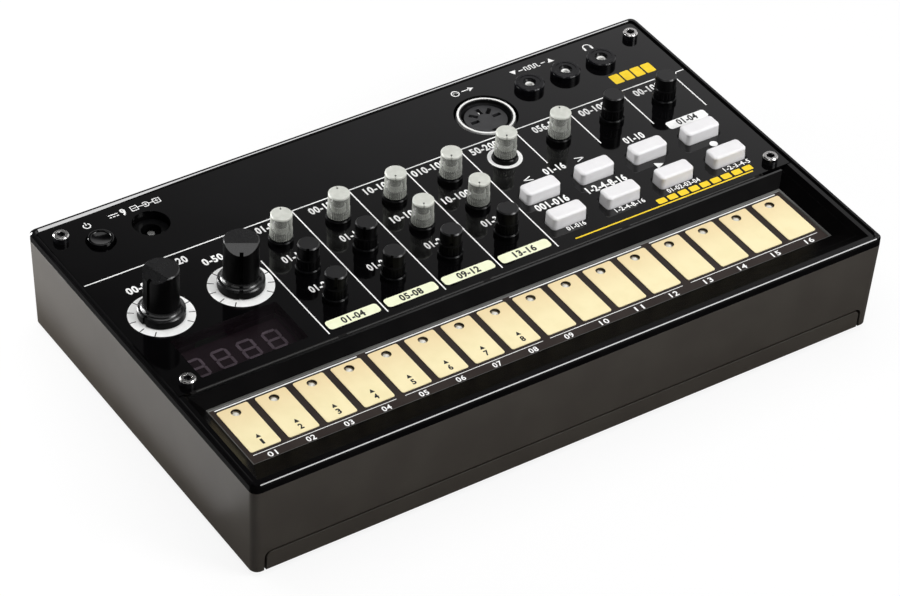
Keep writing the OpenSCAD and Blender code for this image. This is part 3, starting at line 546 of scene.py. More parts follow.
# tinned contacts, made white and not metallic as a painted glint
GLINT_WHITE_TIN = Finish("tinned_contact_painted_glint", (0.80, 0.80, 0.78), (0.70, 0.70, 0.68), 1.5, 0.25, 0.06, 0.15, 0.003)
# the bright steel round the top of each screw head is a painted highlight
SCREW_STEEL = ScrewFinish("black_screw_painted_shine", (0.004, 0.004, 0.005), (0.008, 0.008, 0.009), 1.5, 0.20, 0.06,
                          0.15, 0.003, 0.1, specular=0.3)
NUT_SIDE = Finish("nut_side", (0.002, 0.002, 0.0024), (0.004, 0.004, 0.005), 1.5, 0.26, 0.05, 0.2, 0.003,
                  specular=0.08)
NUT_BLACK = SidedFinish("nut_black", (0.003, 0.003, 0.004), (0.006, 0.006, 0.007), 1.5, 0.18, 0.05,
                        0.2, 0.003, 0.12, specular=0.3, side=NUT_SIDE)
BRIGHT_STEEL = BrushedFinish("bright_steel", (0.78, 0.78, 0.76), (0.66, 0.66, 0.64), 1.5, 0.20, 0.06,
                             0.15, 0.004, 0.1, metallic=1.0)


def ink(name: str, color: Rgb, cloud: Rgb, cloud_size: float = 1.5, rough: float = 0.45) -> Finish:
    """Returns a printed finish."""
    return Finish(name, color, cloud, cloud_size, rough, 0.06, 0.15, 0.002, specular=0.3)


WHITE_INK = ink("white_ink", (0.94, 0.94, 0.93), (0.88, 0.88, 0.87))
CREAM_INK = ink("cream_ink", (0.90, 0.93, 0.68), (0.86, 0.89, 0.62), 2.5)
YELLOW_INK = ink("yellow_ink", (0.93, 0.66, 0.03), (0.88, 0.60, 0.02), rough=0.42)
BLACK_INK = ink("black_ink", (0.006, 0.006, 0.007), (0.012, 0.012, 0.013), 1.0, 0.5)

# angle of each clear knob's pointer, in degrees
CLEAR_KNOBS = {
    "kick_click_knob": 66.0, "snare_snap_knob": 74.0, "tom_high_knob": 235.0, "tom_low_knob": 240.0,
    "hat_closed_knob": 235.0, "hat_open_knob": 235.0, "sample_speed_knob": 237.0, "tempo_knob": 67.0}
KEYS = ("part_back_key", "part_next_key", "mute_key", "function_key",
        "memory_key", "step_mode_key", "play_key", "record_key")
NODE_FINISHES: dict[Finish, tuple[str, ...]] = {
    SATIN_CASE: ("case_tub", "battery_door"),
    GLOSS_COVER: ("top_cover",),
    GLOSS_PANEL: ("control_panel",),
    RUBBER: ("door_feet", "rear_feet"),
    BRIGHT_STEEL: ("battery_contacts", "board_screws", "dc_pin"),
    GLINT_WHITE_TIN: ("midi_contacts",),
    DARK_WELL: ("dc_jack",),
    SCREW_STEEL: ("panel_screws",),
    NUT_BLACK: ("jack_nuts", "audio_jacks"),
    DARK_PART: ("speaker", "potentiometers", "key_switches", "power_switch"),
    SOCKET_CORE: ("midi_socket",),
    RING_WHITE: ("midi_ring",),
    SMOKED: ("display_window",),
    DISPLAY_FACE: ("display_module",),
    SEGMENT: ("display_segments",),
    GREEN_BOARD: ("main_board",),
    TOUCH_BOARD: ("touch_board",),
    PAD: ("touch_pads",),
    LAMP: ("step_lamps",),
    COLLAR_BLACK: ("knob_collars",),
    BUTTON_BLACK: ("power_button",),
    WHITE_KEY: KEYS,
    CLEAR_TOP: tuple(CLEAR_KNOBS),
    LARGE_KNOB: ("time_knob", "depth_knob"),
    SMALL_KNOB: ("kick_pitch_knob", "kick_decay_knob", "snare_pitch_knob",
                 "snare_decay_knob", "tom_decay_knob", "hat_grain_knob", "part_level_knob", "volume_knob"),
}


# ---------------------------------------------------------------- mesh helpers

class Body(Enum):
    """Bodies that new pieces ride on, beside those named after a knob or a key."""

    CASE = "case"
    POWER = "power"


class Slot(Enum):
    """Material slots that the print's build takes but doesn't use."""

    GLOSS = "gloss"
    KNOBS = "knobs"
    CLEAR = "clear_knobs"
    KEYS = "keys"
    PRINT = "segments"
    PADS = "pads"
    LAMPS = "lamps"
    METAL = "metal"
    DARK = "dark_parts"


def centre_of(node: str) -> Point:
    """Returns the middle of a node seen from above, in millimetres."""
    low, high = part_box(node)
    return ((low.x + high.x) / 2 / MM, (low.y + high.y) / 2 / MM)


def top_of(node: str) -> float:
    """Returns the level of a node's top, in millimetres."""
    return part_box(node)[1].z / MM


def base_of(node: str) -> float:
    """Returns the level of a node's underside, in millimetres."""
    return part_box(node)[0].z / MM


def circle(radius: float, centre: Point = (0, 0), steps: int = 48) -> list[Point]:
    """Returns a round outline, counter-clockwise."""
    return [(centre[0] + radius * math.cos(2 * math.pi * i / steps),
             centre[1] + radius * math.sin(2 * math.pi * i / steps)) for i in range(steps)]


def quarter(radius: float, first: int = 0, step: int = 15) -> list[Point]:
    """Returns how far a rounded edge has drawn in and risen, at angles up to 90 degrees."""
    turns = [math.radians(angle) for angle in range(first, 91, step)]
    return [(radius * (1 - math.cos(turn)), radius * math.sin(turn)) for turn in turns]


def rounded(width: float, depth: float, radius: float, centre: Point = (0, 0), steps: int = 6) -> list[Point]:
    """Returns a rectangle with rounded corners, counter-clockwise."""
    outline = []
    for corner, (sx, sy) in enumerate(((1, 1), (-1, 1), (-1, -1), (1, -1))):
        for i in range(steps + 1):
            angle = math.radians(90 * corner + 90 * i / steps)
            outline.append((centre[0] + sx * (width / 2 - radius) + radius * math.cos(angle),
                            centre[1] + sy * (depth / 2 - radius) + radius * math.sin(angle)))
    return outline


class Solid:
    """Closed shapes gathered into one mesh, in millimetres."""

    def __init__(self) -> None:
        """Starts empty."""
        self.verts: list[Point3] = []
        self.faces: list[tuple[int, ...]] = []

    def skin(self, rings: Sequence[Sequence[Point3]], closed: bool = False) -> None:
        """Adds a skin through rings of points that all run counter-clockwise, from the lowest up.

        Args:
            rings: Rings with the same number of points.
            closed: Whether the last ring joins the first, instead of a cap on each.
        """
        base, count = len(self.verts), len(rings[0])
        for ring in rings:
            self.verts += [tuple(point) for point in ring]
        for k in range(len(rings) if closed else len(rings) - 1):
            low, high = base + k * count, base + (k + 1) % len(rings) * count
            for i in range(count):
                j = (i + 1) % count
                self.faces.append((low + i, low + j, high + j, high + i))
        if not closed:
            top = base + (len(rings) - 1) * count
            self.faces += [tuple(reversed(range(base, base + count))),
                           tuple(range(top, top + count))]

    def stack(self, layers: Sequence[tuple[Sequence[Point], float]]) -> None:
        """Adds a solid through flat outlines, each with its level."""
        self.skin([[(x, y, z) for x, y in outline] for outline, z in layers])

    def turned(self, outline: Sequence[Point], centre: Point = (0, 0), closed: bool = False,
               steps: int = 48) -> None:
        """Adds a turned solid.

        Args:
            outline: Radius and level, from the bottom up on the outside.
            centre: Its axis.
            closed: Whether the outline closes on itself, as in a ring.
            steps: Number of straight steps round it.
        """
        self.skin([[(x, y, z) for x, y in circle(r, centre, steps)] for r, z in outline], closed)

    def slab(self, outlines: Sequence[Sequence[Point]], low: float, high: float) -> None:
        """Adds a flat slab with holes.

        Args:
            outlines: The outer edge, then each hole, all counter-clockwise.
            low: Level of its underside.
            high: Level of its top.
        """
        loops = [list(outlines[0])] + [list(reversed(hole)) for hole in outlines[1:]]
        flat = [point for loop in loops for point in loop]
        base, count = len(self.verts), len(flat)
        for z in (low, high):
            self.verts += [(x, y, z) for x, y in flat]
        for a, b, c in tessellate_polygon([[Vector((x, y, 0)) for x, y in loop] for loop in loops]):
            (ax, ay), (bx, by), (cx, cy) = flat[a], flat[b], flat[c]
            if (bx - ax) * (cy - ay) - (by - ay) * (cx - ax) < 0:
                b, c = c, b
            self.faces += [(base + count + a, base + count + b, base + count + c),
                           (base + a, base + c, base + b)]
        start = base
        for loop in loops:
            for i in range(len(loop)):
                a, b = start + i, start + (i + 1) % len(loop)
                self.faces.append((a, b, b + count, a + count))
            start += len(loop)

    def mesh(self, name: str, turn: Matrix | None = None, sharp: float = 35) -> bpy.types.Mesh:
        """Makes the mesh.

        Args:
            name: Its name.
            turn: Where it goes, in metres.
            sharp: Angle in degrees from which an edge stays sharp.

        Returns:
            The mesh, in metres.
        """
        mesh = bpy.data.meshes.new(name)
        mesh.from_pydata([(x * MM, y * MM, z * MM) for x, y, z in self.verts], [], self.faces)
        mesh.validate()
        mesh.polygons.foreach_set("use_smooth", [True] * len(mesh.polygons))
        mesh.set_sharp_from_angle(angle=math.radians(sharp))
        if turn is not None:
            mesh.transform(turn)
        return mesh


def add_piece(mesh: bpy.types.Mesh, body: str, finish: Finish) -> bpy.types.Object:
    """Adds one object, named as its mesh, and lets it ride on a body.

    Args:
        mesh: Its mesh, in metres.
        body: Body that it rides on.
        finish: Its finish.

    Returns:
        The new object.
    """
    piece = bpy.data.objects.new(mesh.name, mesh)
    bpy.context.scene.collection.objects.link(piece)
    mesh.materials.append(finish.material())
    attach(piece, body)
    LOG.info("%s rides on %s", piece.name, body)
    return piece


class Ink(Solid):
    """Thin printed shapes of one colour, laid on one level."""

    def __init__(self, name: str, level: float, thick: float = 0.03) -> None:
        """Sets the name of the piece, the level of the surface under it and its thickness."""
        super().__init__()
        self.name, self.level, self.thick = name, level, thick

    def shape(self, *outlines: Sequence[Point]) -> None:
        """Adds a closed flat shape, given by its outline and then its holes."""
        self.slab(outlines, self.level, self.level + self.thick)

    def bar(self, start: Point, end: Point, width: float) -> None:
        """Adds a straight line of that width."""
        dx, dy = end[0] - start[0], end[1] - start[1]
        length = math.hypot(dx, dy)
        nx, ny = -dy / length * width / 2, dx / length * width / 2
        self.shape([(start[0] - nx, start[1] - ny), (end[0] - nx, end[1] - ny),
                    (end[0] + nx, end[1] + ny), (start[0] + nx, start[1] + ny)])

    def path(self, points: Sequence[Point], width: float) -> None:
        """Adds a line through several points."""
        for start, end in zip(points, points[1:]):
            self.bar(start, end, width)

    def ring(self, centre: Point, inner: float, outer: float, start: float = 0, end: float = 360,
             steps: int = 64) -> None:
        """Adds a ring or, between two angles in degrees, an arc."""
        if end - start >= 360:
            self.shape(circle(outer, centre, steps), circle(inner, centre, steps))
            return
        angles = [math.radians(start + (end - start) * i / steps) for i in range(steps + 1)]
        edges = [(outer, a) for a in angles] + [(inner, a) for a in reversed(angles)]
        self.shape([(centre[0] + r * math.cos(a), centre[1] + r * math.sin(a)) for r, a in edges])

    def disc(self, centre: Point, radius: float, steps: int = 24) -> None:
        """Adds a round dot."""
        self.shape(circle(radius, centre, steps))

    def block(self, centre: Point, width: float, depth: float, radius: float) -> None:
        """Adds a rectangle with rounded corners."""
        self.shape(rounded(width, depth, radius, centre))

    def digits(self, text: str, left: float, right: float, middle: float, height: float,
               weight: float = 0.035) -> None:
        """Adds digits or simple signs that fill the space between two ends.

        Args:
            text: The digits.
            left: Where they start.
            right: Where they end.
            middle: Middle of their height.
            height: Height of a digit.
            weight: How much the strokes are thickened.
        """
        curve = bpy.data.curves.new("digits", "FONT")
        curve.body, curve.size, curve.offset, curve.resolution_u = text, 1.0, weight, 3
        curve.space_character = FONT_SPACE
        carrier = bpy.data.objects.new("digits", curve)
        bpy.context.scene.collection.objects.link(carrier)
        bpy.context.view_layer.update()
        shown = carrier.evaluated_get(bpy.context.evaluated_depsgraph_get())
        flat = bpy.data.meshes.new_from_object(shown)
        xs, ys = [v.co.x for v in flat.vertices], [v.co.y for v in flat.vertices]
        stretch, scale = (right - left) / (max(xs) - min(xs)), height / FONT_HEIGHT
        mid_y = (min(ys) + max(ys)) / 2
        base, count = len(self.verts), len(flat.vertices)
        for z in (self.level, self.level + self.thick):
            self.verts += [(left + (v.co.x - min(xs)) * stretch, middle + (v.co.y - mid_y) * scale, z)
                           for v in flat.vertices]
        rim: set[tuple[int, int]] = set()
        for face in flat.polygons:
            loop = tuple(face.vertices) if face.normal.z > 0 else tuple(reversed(face.vertices))
            self.faces += [tuple(base + count + i for i in loop), tuple(base + i for i in reversed(loop))]
            for i, j in zip(loop, loop[1:] + loop[:1]):
                if (j, i) in rim:
                    rim.remove((j, i))
                else:
                    rim.add((i, j))
        self.faces += [(base + i, base + j, base + count + j, base + count + i) for i, j in sorted(rim)]
        bpy.data.objects.remove(carrier)
        bpy.data.curves.remove(curve)
        bpy.data.meshes.remove(flat)

    def build(self, slot: Slot, finish: Finish) -> bpy.types.Object:
        """Makes the printed piece, which rides on the case.

        Args:
            slot: Not used.
            finish: The ink.

        Returns:
            The new object.
        """
        return add_piece(self.mesh(self.name), Body.CASE.value, finish)


# ---------------------------------------------------------------- printed panel

Label = tuple[str, float, float, float]
KNOB_LABELS: tuple[Label, ...] = (
    ("00-99", -86.2, -78.6, 23.0), ("0-10-20", -76.0, -66.1, 27.3), ("0-50-99", -63.5, -53.2, 23.5),
    ("01-99", -45.0, -38.2, 27.75), ("00-127", -28.7, -20.0, 27.75), ("10-100", -11.6, -3.0, 27.7),
    ("010-100", 3.4, 14.0, 27.8), ("50-200", 22.2, 31.0, 27.9), ("056-240", 42.3, 52.0, 27.7),
    ("00-100", 57.6, 66.6, 27.6), ("00-100", 75.9, 84.6, 27.6),
    ("01-10", -45.2, -38.6, 14.0), ("01-10", -27.6, -21.0, 14.0), ("10-100", -11.9, -3.3, 14.0),
    ("10-100", 4.2, 12.8, 13.9), ("01-20", -45.4, -38.8, 0.35), ("01-20", -27.8, -21.2, 0.35),
    ("01-20", -10.1, -3.5, 0.4), ("01-30", 7.8, 14.4, 0.6))
KEY_LABELS: tuple[Label, ...] = (
    ("01-16", 34.5, 41.2, 11.0), ("01-10", 61.1, 67.5, 11.4), ("001-016", 23.8, 34.1, -1.0),
    ("1-2-4-8-16", 39.9, 52.5, -1.5))
SMALL_LABELS: tuple[Label, ...] = (
    ("01-016", 26.2, 32.0, -12.15), ("1-2-4-8-16", 41.7, 51.1, -12.2), ("01-02-03-04", 58.6, 69.1, -12.3),
    ("1-2-3-4-5", 77.2, 85.7, -12.35))
# width and points: key arrows, power sign, supply line and dashes, minus, plus, plug leads, socket's arrow
SIGN_STROKES: tuple[tuple[float, tuple[Point, ...]], ...] = (
    (0.32, ((30.3, 11.5), (27.8, 10.6), (30.5, 9.8))), (0.32, ((45.0, 12.0), (47.5, 11.2), (45.1, 10.3))),
    (0.30, ((-81.9, 52.0), (-81.9, 53.3))), (0.32, ((-75.2, 52.6), (-72.4, 52.6))),
    (0.32, ((-75.2, 51.7), (-74.5, 51.7))), (0.32, ((-74.15, 51.7), (-73.45, 51.7))),
    (0.32, ((-73.1, 51.7), (-72.4, 51.7))), (0.24, ((-68.1, 52.2), (-67.1, 52.2))),
    (0.24, ((-61.4, 52.2), (-60.4, 52.2))), (0.24, ((-60.9, 51.7), (-60.9, 52.7))),
    (0.26, ((-66.4, 52.2), (-64.3, 52.2))), (0.26, ((-63.1, 52.2), (-62.0, 52.2))),
    (0.34, ((35.2, 52.2), (37.8, 52.2))))
# centre, radii, angles and steps: power sign, plug, round socket, headphones, ring of one knob
SIGN_RINGS: tuple[tuple[Point, float, float, float, float, int], ...] = (
    ((-81.9, 51.8), 0.80, 1.12, 125, 415, 40), ((-64.2, 52.2), 0.78, 1.06, -140, 140, 40),
    ((33.1, 52.2), 0.95, 1.25, 0, 360, 40), ((77.1, 52.2), 1.0, 1.32, 0, 180, 30),
    ((29.1, 21.6), 3.7, 4.8, 0, 360, 64))
# play triangle and head of the round socket's arrow
SIGN_SHAPES: tuple[tuple[Point, ...], ...] = (
    ((62.4, -3.0), (64.9, -1.8), (62.4, -0.5)), ((37.4, 51.3), (39.0, 52.2), (37.4, 53.1)))
# centre, radius and steps: record dot and the pin of the plug
SIGN_DOTS: tuple[tuple[Point, float, int], ...] = (((81.7, -1.6), 1.15, 24), ((-64.2, 52.2), 0.34, 24))
# centre, size and corner radius: ear pads of the headphones and the white plate
WHITE_BLOCKS: tuple[tuple[Point, float, float, float], ...] = (
    ((75.95, 51.6), 0.6, 1.4, 0.2), ((78.25, 51.6), 0.6, 1.4, 0.2), ((81.85, 10.95), 12.9, 3.3, 0.9))
# number in the row, then centre, size and corner radius of its first block
YELLOW_ROWS: tuple[tuple[int, Point, float, float, float], ...] = (
    (9, (54.9, -14.85), 2.8, 2.0, 0.35), (4, (75.75, 35.75), 3.0, 4.1, 0.4))
# lines behind the knobs and round the last one
FRAME_LINES: tuple[tuple[Point, ...], ...] = (
    ((-94.4, 30.5), (85.0, 30.5)), ((94.5, 30.2), (92.0, 30.2), (90.35, 28.6)),
    ((90.35, 27.5), (90.35, 13.6)))
# rear and front end of the line at each column
COLUMN_ENDS: tuple[Span, ...] = ((16.8, -17.0), *[(30.5, -17.0)] * 4, *[(30.3, 13.9)] * 3)


@dataclass
class PanelPrint:
    """White, cream and yellow print on the control panel, in millimetres.

    Attributes:
        line: Width of the lines of the frame.
        column_left: Where the first column starts.
        column_pitch: Width of a column.
        label: Height of the ranges.
        small_label: Height of those in front of the keys.
        plate: Width, depth and corner radius of a cream plate.
        plate_y: Middle of the plates.
        number_half: Half the width of a range on a plate.
        number_h: Its height.
        yellow_line: Ends of the yellow line.
        yellow_pitch: From one yellow block to the next.
        socket_sign: Middle of the round socket's sign.
        hole_at: Distance of its holes from there.
        jack_pitch: From one audio jack to the next.
        jack_low: Foot of the signs of the jacks.
        jack_high: Their top.
        pulse: Length of one step of the pulse.
    """

    line: float = 0.36
    column_left: float = -50.05
    column_pitch: float = 17.55
    label: float = 2.6
    small_label: float = 1.7
    plate: Point3 = (15.5, 3.5, 1.0)
    plate_y: float = -14.15
    number_half: float = 3.4
    number_h: float = 2.3
    yellow_line: tuple[Point, Point] = ((25.9, -16.6), (83.8, -16.6))
    yellow_pitch: float = 3.55
    socket_sign: Point = (33.1, 52.1)
    hole_at: float = 0.6
    jack_pitch: float = 12.0
    jack_low: float = 51.5
    jack_high: float = 53.2
    pulse: float = 0.8

    def edge_x(self, index: int) -> float:
        """Returns where a column starts."""
        return self.column_left + index * self.column_pitch

    def lines(self, white: Ink) -> None:
        """Draws the frame and the lines between the columns."""
        for points in FRAME_LINES:
            white.path(points, self.line)
        for k, (start, end) in enumerate(COLUMN_ENDS):
            white.bar((self.edge_x(k), start), (self.edge_x(k), end), self.line)

    def labels(self, white: Ink) -> None:
        """Draws a plain range at each control and key, and the 9 of the supply."""
        for text, left, right, middle in (*KNOB_LABELS, *KEY_LABELS, ("9", -71.6, -70.2, 52.2)):
            white.digits(text, left, right, middle, self.label)
        for text, left, right, middle in SMALL_LABELS:
            white.digits(text, left, right, middle, self.small_label, 0.02)

    def signs(self, white: Ink) -> None:
        """Draws the signs of the keys, the power button and the sockets."""
        for width, points in SIGN_STROKES:
            white.path(points, width)
        for centre, inner, outer, start, end, steps in SIGN_RINGS:
            white.ring(centre, inner, outer, start, end, steps)
        for points in SIGN_SHAPES:
            white.shape(points)
        for x in (-67.6, -60.9):
            white.shape(rounded(2.1, 2.1, 0.2, (x, 52.2)), rounded(1.6, 1.6, 0.1, (x, 52.2)))
        x, y = self.socket_sign
        turns = [math.radians(angle) for angle in range(0, 181, 45)]
        holes = [((x + self.hole_at * math.cos(a), y + self.hole_at * math.sin(a)), 0.14, 12) for a in turns]
        for centre, radius, steps in (*SIGN_DOTS, *holes):
            white.disc(centre, radius, steps)
        for block in WHITE_BLOCKS:
            white.block(*block)

    def jack_signs(self, white: Ink) -> None:
        """Draws a pulse between two triangles at the audio jacks."""
        right = centre_of("jack_nuts")[0]
        left, low, high, step = right - self.jack_pitch, self.jack_low, self.jack_high, self.pulse
        white.shape([(left - 1.0, high), (left, low), (left + 1.0, high)])
        white.shape([(right - 1.0, low), (right + 1.0, low), (right, high)])
        for start in (left + 1.6, right - 3.0):
            white.bar((start, low + step), (start + 1.4, low + step), 0.3)
        for k in range(3):
            x, y = left + 3.6 + 2 * step * k, low + 2 * step
            white.path([(x, low), (x, y), (x + step, y), (x + step, low), (x + 2 * step, low)], 0.3)

    def build(self) -> None:
        """Makes all the print of the panel."""
        level = top_of("control_panel")
        white = Ink("panel_white_print", level)
        for draw in (self.lines, self.labels, self.signs, self.jack_signs):
            draw(white)
        white.build(Slot.PRINT, WHITE_INK)

        yellow = Ink("panel_yellow_print", level)
        yellow.bar(*self.yellow_line, 0.45)
        for count, (x, y), *size in YELLOW_ROWS:
            for i in range(count):
                yellow.block((x + self.yellow_pitch * i, y), *size)
        yellow.build(Slot.PRINT, YELLOW_INK)

        plates = Ink("panel_plates", level)
        numbers = Ink("panel_black_print", level + plates.thick)
        for k in range(4):
            x, half = self.edge_x(k) + self.column_pitch / 2, self.number_half
            plates.block((x, self.plate_y), *self.plate)
            text = f"{4 * k + 1:02d}-{4 * k + 4:02d}"
            numbers.digits(text, x - half, x + half, self.plate_y, self.number_h)
        plates.build(Slot.PRINT, CREAM_INK)
        numbers.digits("01-04", 78.6, 85.1, 11.1, self.number_h)
        DialPrint().build(numbers)
        numbers.build(Slot.GLOSS, BLACK_INK)


@dataclass
class DialPrint:
    """White rings with dark ticks round the two large knobs, in millimetres and degrees."""

    outer: float = 8.75
    inner: float = 5.6
    tick_in: float = 7.0
    tick_out: float = 8.75
    tick_w: float = 0.26
    first: float = 229.5
    step: float = 27.9
    count: int = 11

    def build(self, black: Ink) -> None:
        """Makes the rings and adds their ticks to the black print."""
        white = Ink("dial_rings", top_of("control_panel"))
        for node in ("time_knob", "depth_knob"):
            x, y = centre_of(node)
            white.ring((x, y), self.inner, self.outer, steps=96)
            for i in range(self.count):
                angle = math.radians(self.first - self.step * i)
                along, across = math.cos(angle), math.sin(angle)
                start, end = [(x + r * along, y + r * across) for r in (self.tick_in, self.tick_out)]
                black.bar(start, end, self.tick_w)
        white.build(Slot.PRINT, WHITE_INK)


# ---------------------------------------------------------------- touch strip

@dataclass
class TouchStrip:
    """Pads, lamps, print and bead of the sunken strip, in millimetres."""

    pads: int = 16
    pitch: float = 11.0466
    pad_w: float = 8.9
    pad_r: float = 0.55
    pad_rear: float = -23.9
    pad_front: float = -40.8
    lamp_y: float = -26.1
    hole_r: float = 1.35
    dome_r: float = 0.95
    dome_h: float = 0.5
    shoulder: float = 0.25
    foot_r: float = 1.9
    foot_h: float = 0.75
    ring_r: float = 1.24
    ring_h: float = 0.6
    rear_line: float = -23.0
    front_line: float = -41.8
    row: float = -43.45
    row_half: float = 1.3
    row_h: float = 1.8
    digit_y: float = -38.6
    digit_h: float = 1.9
    print_shift: float = 0.2
    line: float = 0.34
    front_share: float = 0.55
    bead: float = 0.55
    lip: float = 1.5
    groups: tuple[Span, ...] = ((-87.2, -45.6), (-43.0, -1.2), (1.0, 42.8), (45.4, 86.9))

    def pad_x(self, index: int) -> float:
        """Returns the middle of a pad."""
        return (index - (self.pads - 1) / 2) * self.pitch

    def build_pads(self) -> None:
        """Makes the cream pads, each with its lamp hole."""
        pads = Solid()
        low, high = base_of("touch_pads"), top_of("touch_pads")
        depth, middle = self.pad_rear - self.pad_front, (self.pad_rear + self.pad_front) / 2
        for i in range(self.pads):
            x = self.pad_x(i)
            hole = circle(self.hole_r, (x, self.lamp_y), 40)
            pads.slab([rounded(self.pad_w, depth, self.pad_r, (x, middle)), hole], low, high)
        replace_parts(add_piece(pads.mesh("cream_pads"), Body.CASE.value, PAD), "touch_pads")

    def build_lamps(self) -> None:
        """Makes the lamps: a flanged body with a dome, in a dark ring."""
        domes, rings = Solid(), Solid()
        low, top = base_of("step_lamps"), top_of("step_lamps")
        shoulder, r, gap = top - self.shoulder, self.dome_r, self.dome_r + STEP
        dome = [(self.foot_r, low), (self.foot_r, low + self.foot_h), (r, low + self.foot_h + 0.05)]
        for angle in map(math.radians, range(0, 90, 15)):
            dome.append((r * math.cos(angle), shoulder + self.dome_h * math.sin(angle)))
        dome.append((0.06, shoulder + self.dome_h))
        ring = [(gap, top - self.ring_h), (self.ring_r, top - self.ring_h), (self.ring_r, top),
                (self.ring_r - 0.12, top + 0.06), (gap, top - 0.1)]
        for i in range(self.pads):
            centre = (self.pad_x(i), self.lamp_y)
            domes.turned(dome, centre, steps=32)
            rings.turned(ring, centre, closed=True, steps=32)
        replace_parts(add_piece(domes.mesh("lamp_domes"), Body.CASE.value, LAMP), "step_lamps")
        add_piece(rings.mesh("lamp_rings"), Body.CASE.value, LAMP_RING)

    def build_bead(self) -> None:
        """Makes the thin bead at the foot of the four slopes, light grey as a painted highlight there."""
        low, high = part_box("touch_board")
        half, front, rear = high.x / MM - self.lip, low.y / MM + self.lip, high.y / MM - self.lip
        level, wide = high.z / MM, self.bead
        bead, rings = Solid(), []
        for inset, rise in ((0.0, 0.0), (0.0, wide - 0.05), (wide * 0.5, wide * 0.72), (wide, 0.0)):
            x, y0, y1 = half - inset, front + inset, rear - inset
            rings.append([(*corner, level + rise) for corner in ((x, y0), (x, y1), (-x, y1), (-x, y0))])
        bead.skin(rings, closed=True)
        add_piece(bead.mesh("strip_bead_painted_highlight", sharp=60), Body.CASE.value, HIGHLIGHT_BEAD)

    def build_print(self) -> None:
        """Makes the white lines and numbers on the board and the black numbers on the pads."""
        white = Ink("strip_white_print", top_of("touch_board"), 0.02)
        for start, end in self.groups:
            white.bar((start, self.rear_line), (end, self.rear_line), self.line)
            white.bar((start, self.front_line), (end, self.front_line), self.line * self.front_share)
        for i in range(self.pads):
            x, half = self.pad_x(i) + self.print_shift, self.row_half
            white.digits(f"{i + 1:02d}", x - half, x + half, self.row, self.row_h, 0.02)
        white.build(Slot.PRINT, WHITE_INK)
        black = Ink("pad_numbers", top_of("touch_pads"), 0.02)
        for i in range(8):
            x, half = self.pad_x(i) + self.print_shift, 0.35 if i == 0 else 0.6
            black.digits(str(i + 1), x - half, x + half, self.digit_y, self.digit_h)
            black.shape([(x - 0.7, -36.9), (x + 0.7, -36.9), (x, -35.5)])
        black.build(Slot.GLOSS, BLACK_INK)

    def build(self) -> None:
        """Makes the pieces of the strip."""
        self.build_pads()
        self.build_lamps()
        self.build_bead()
        self.build_print()


# ---------------------------------------------------------------- knobs, keys and sockets

Radius = Callable[[float], float] | float


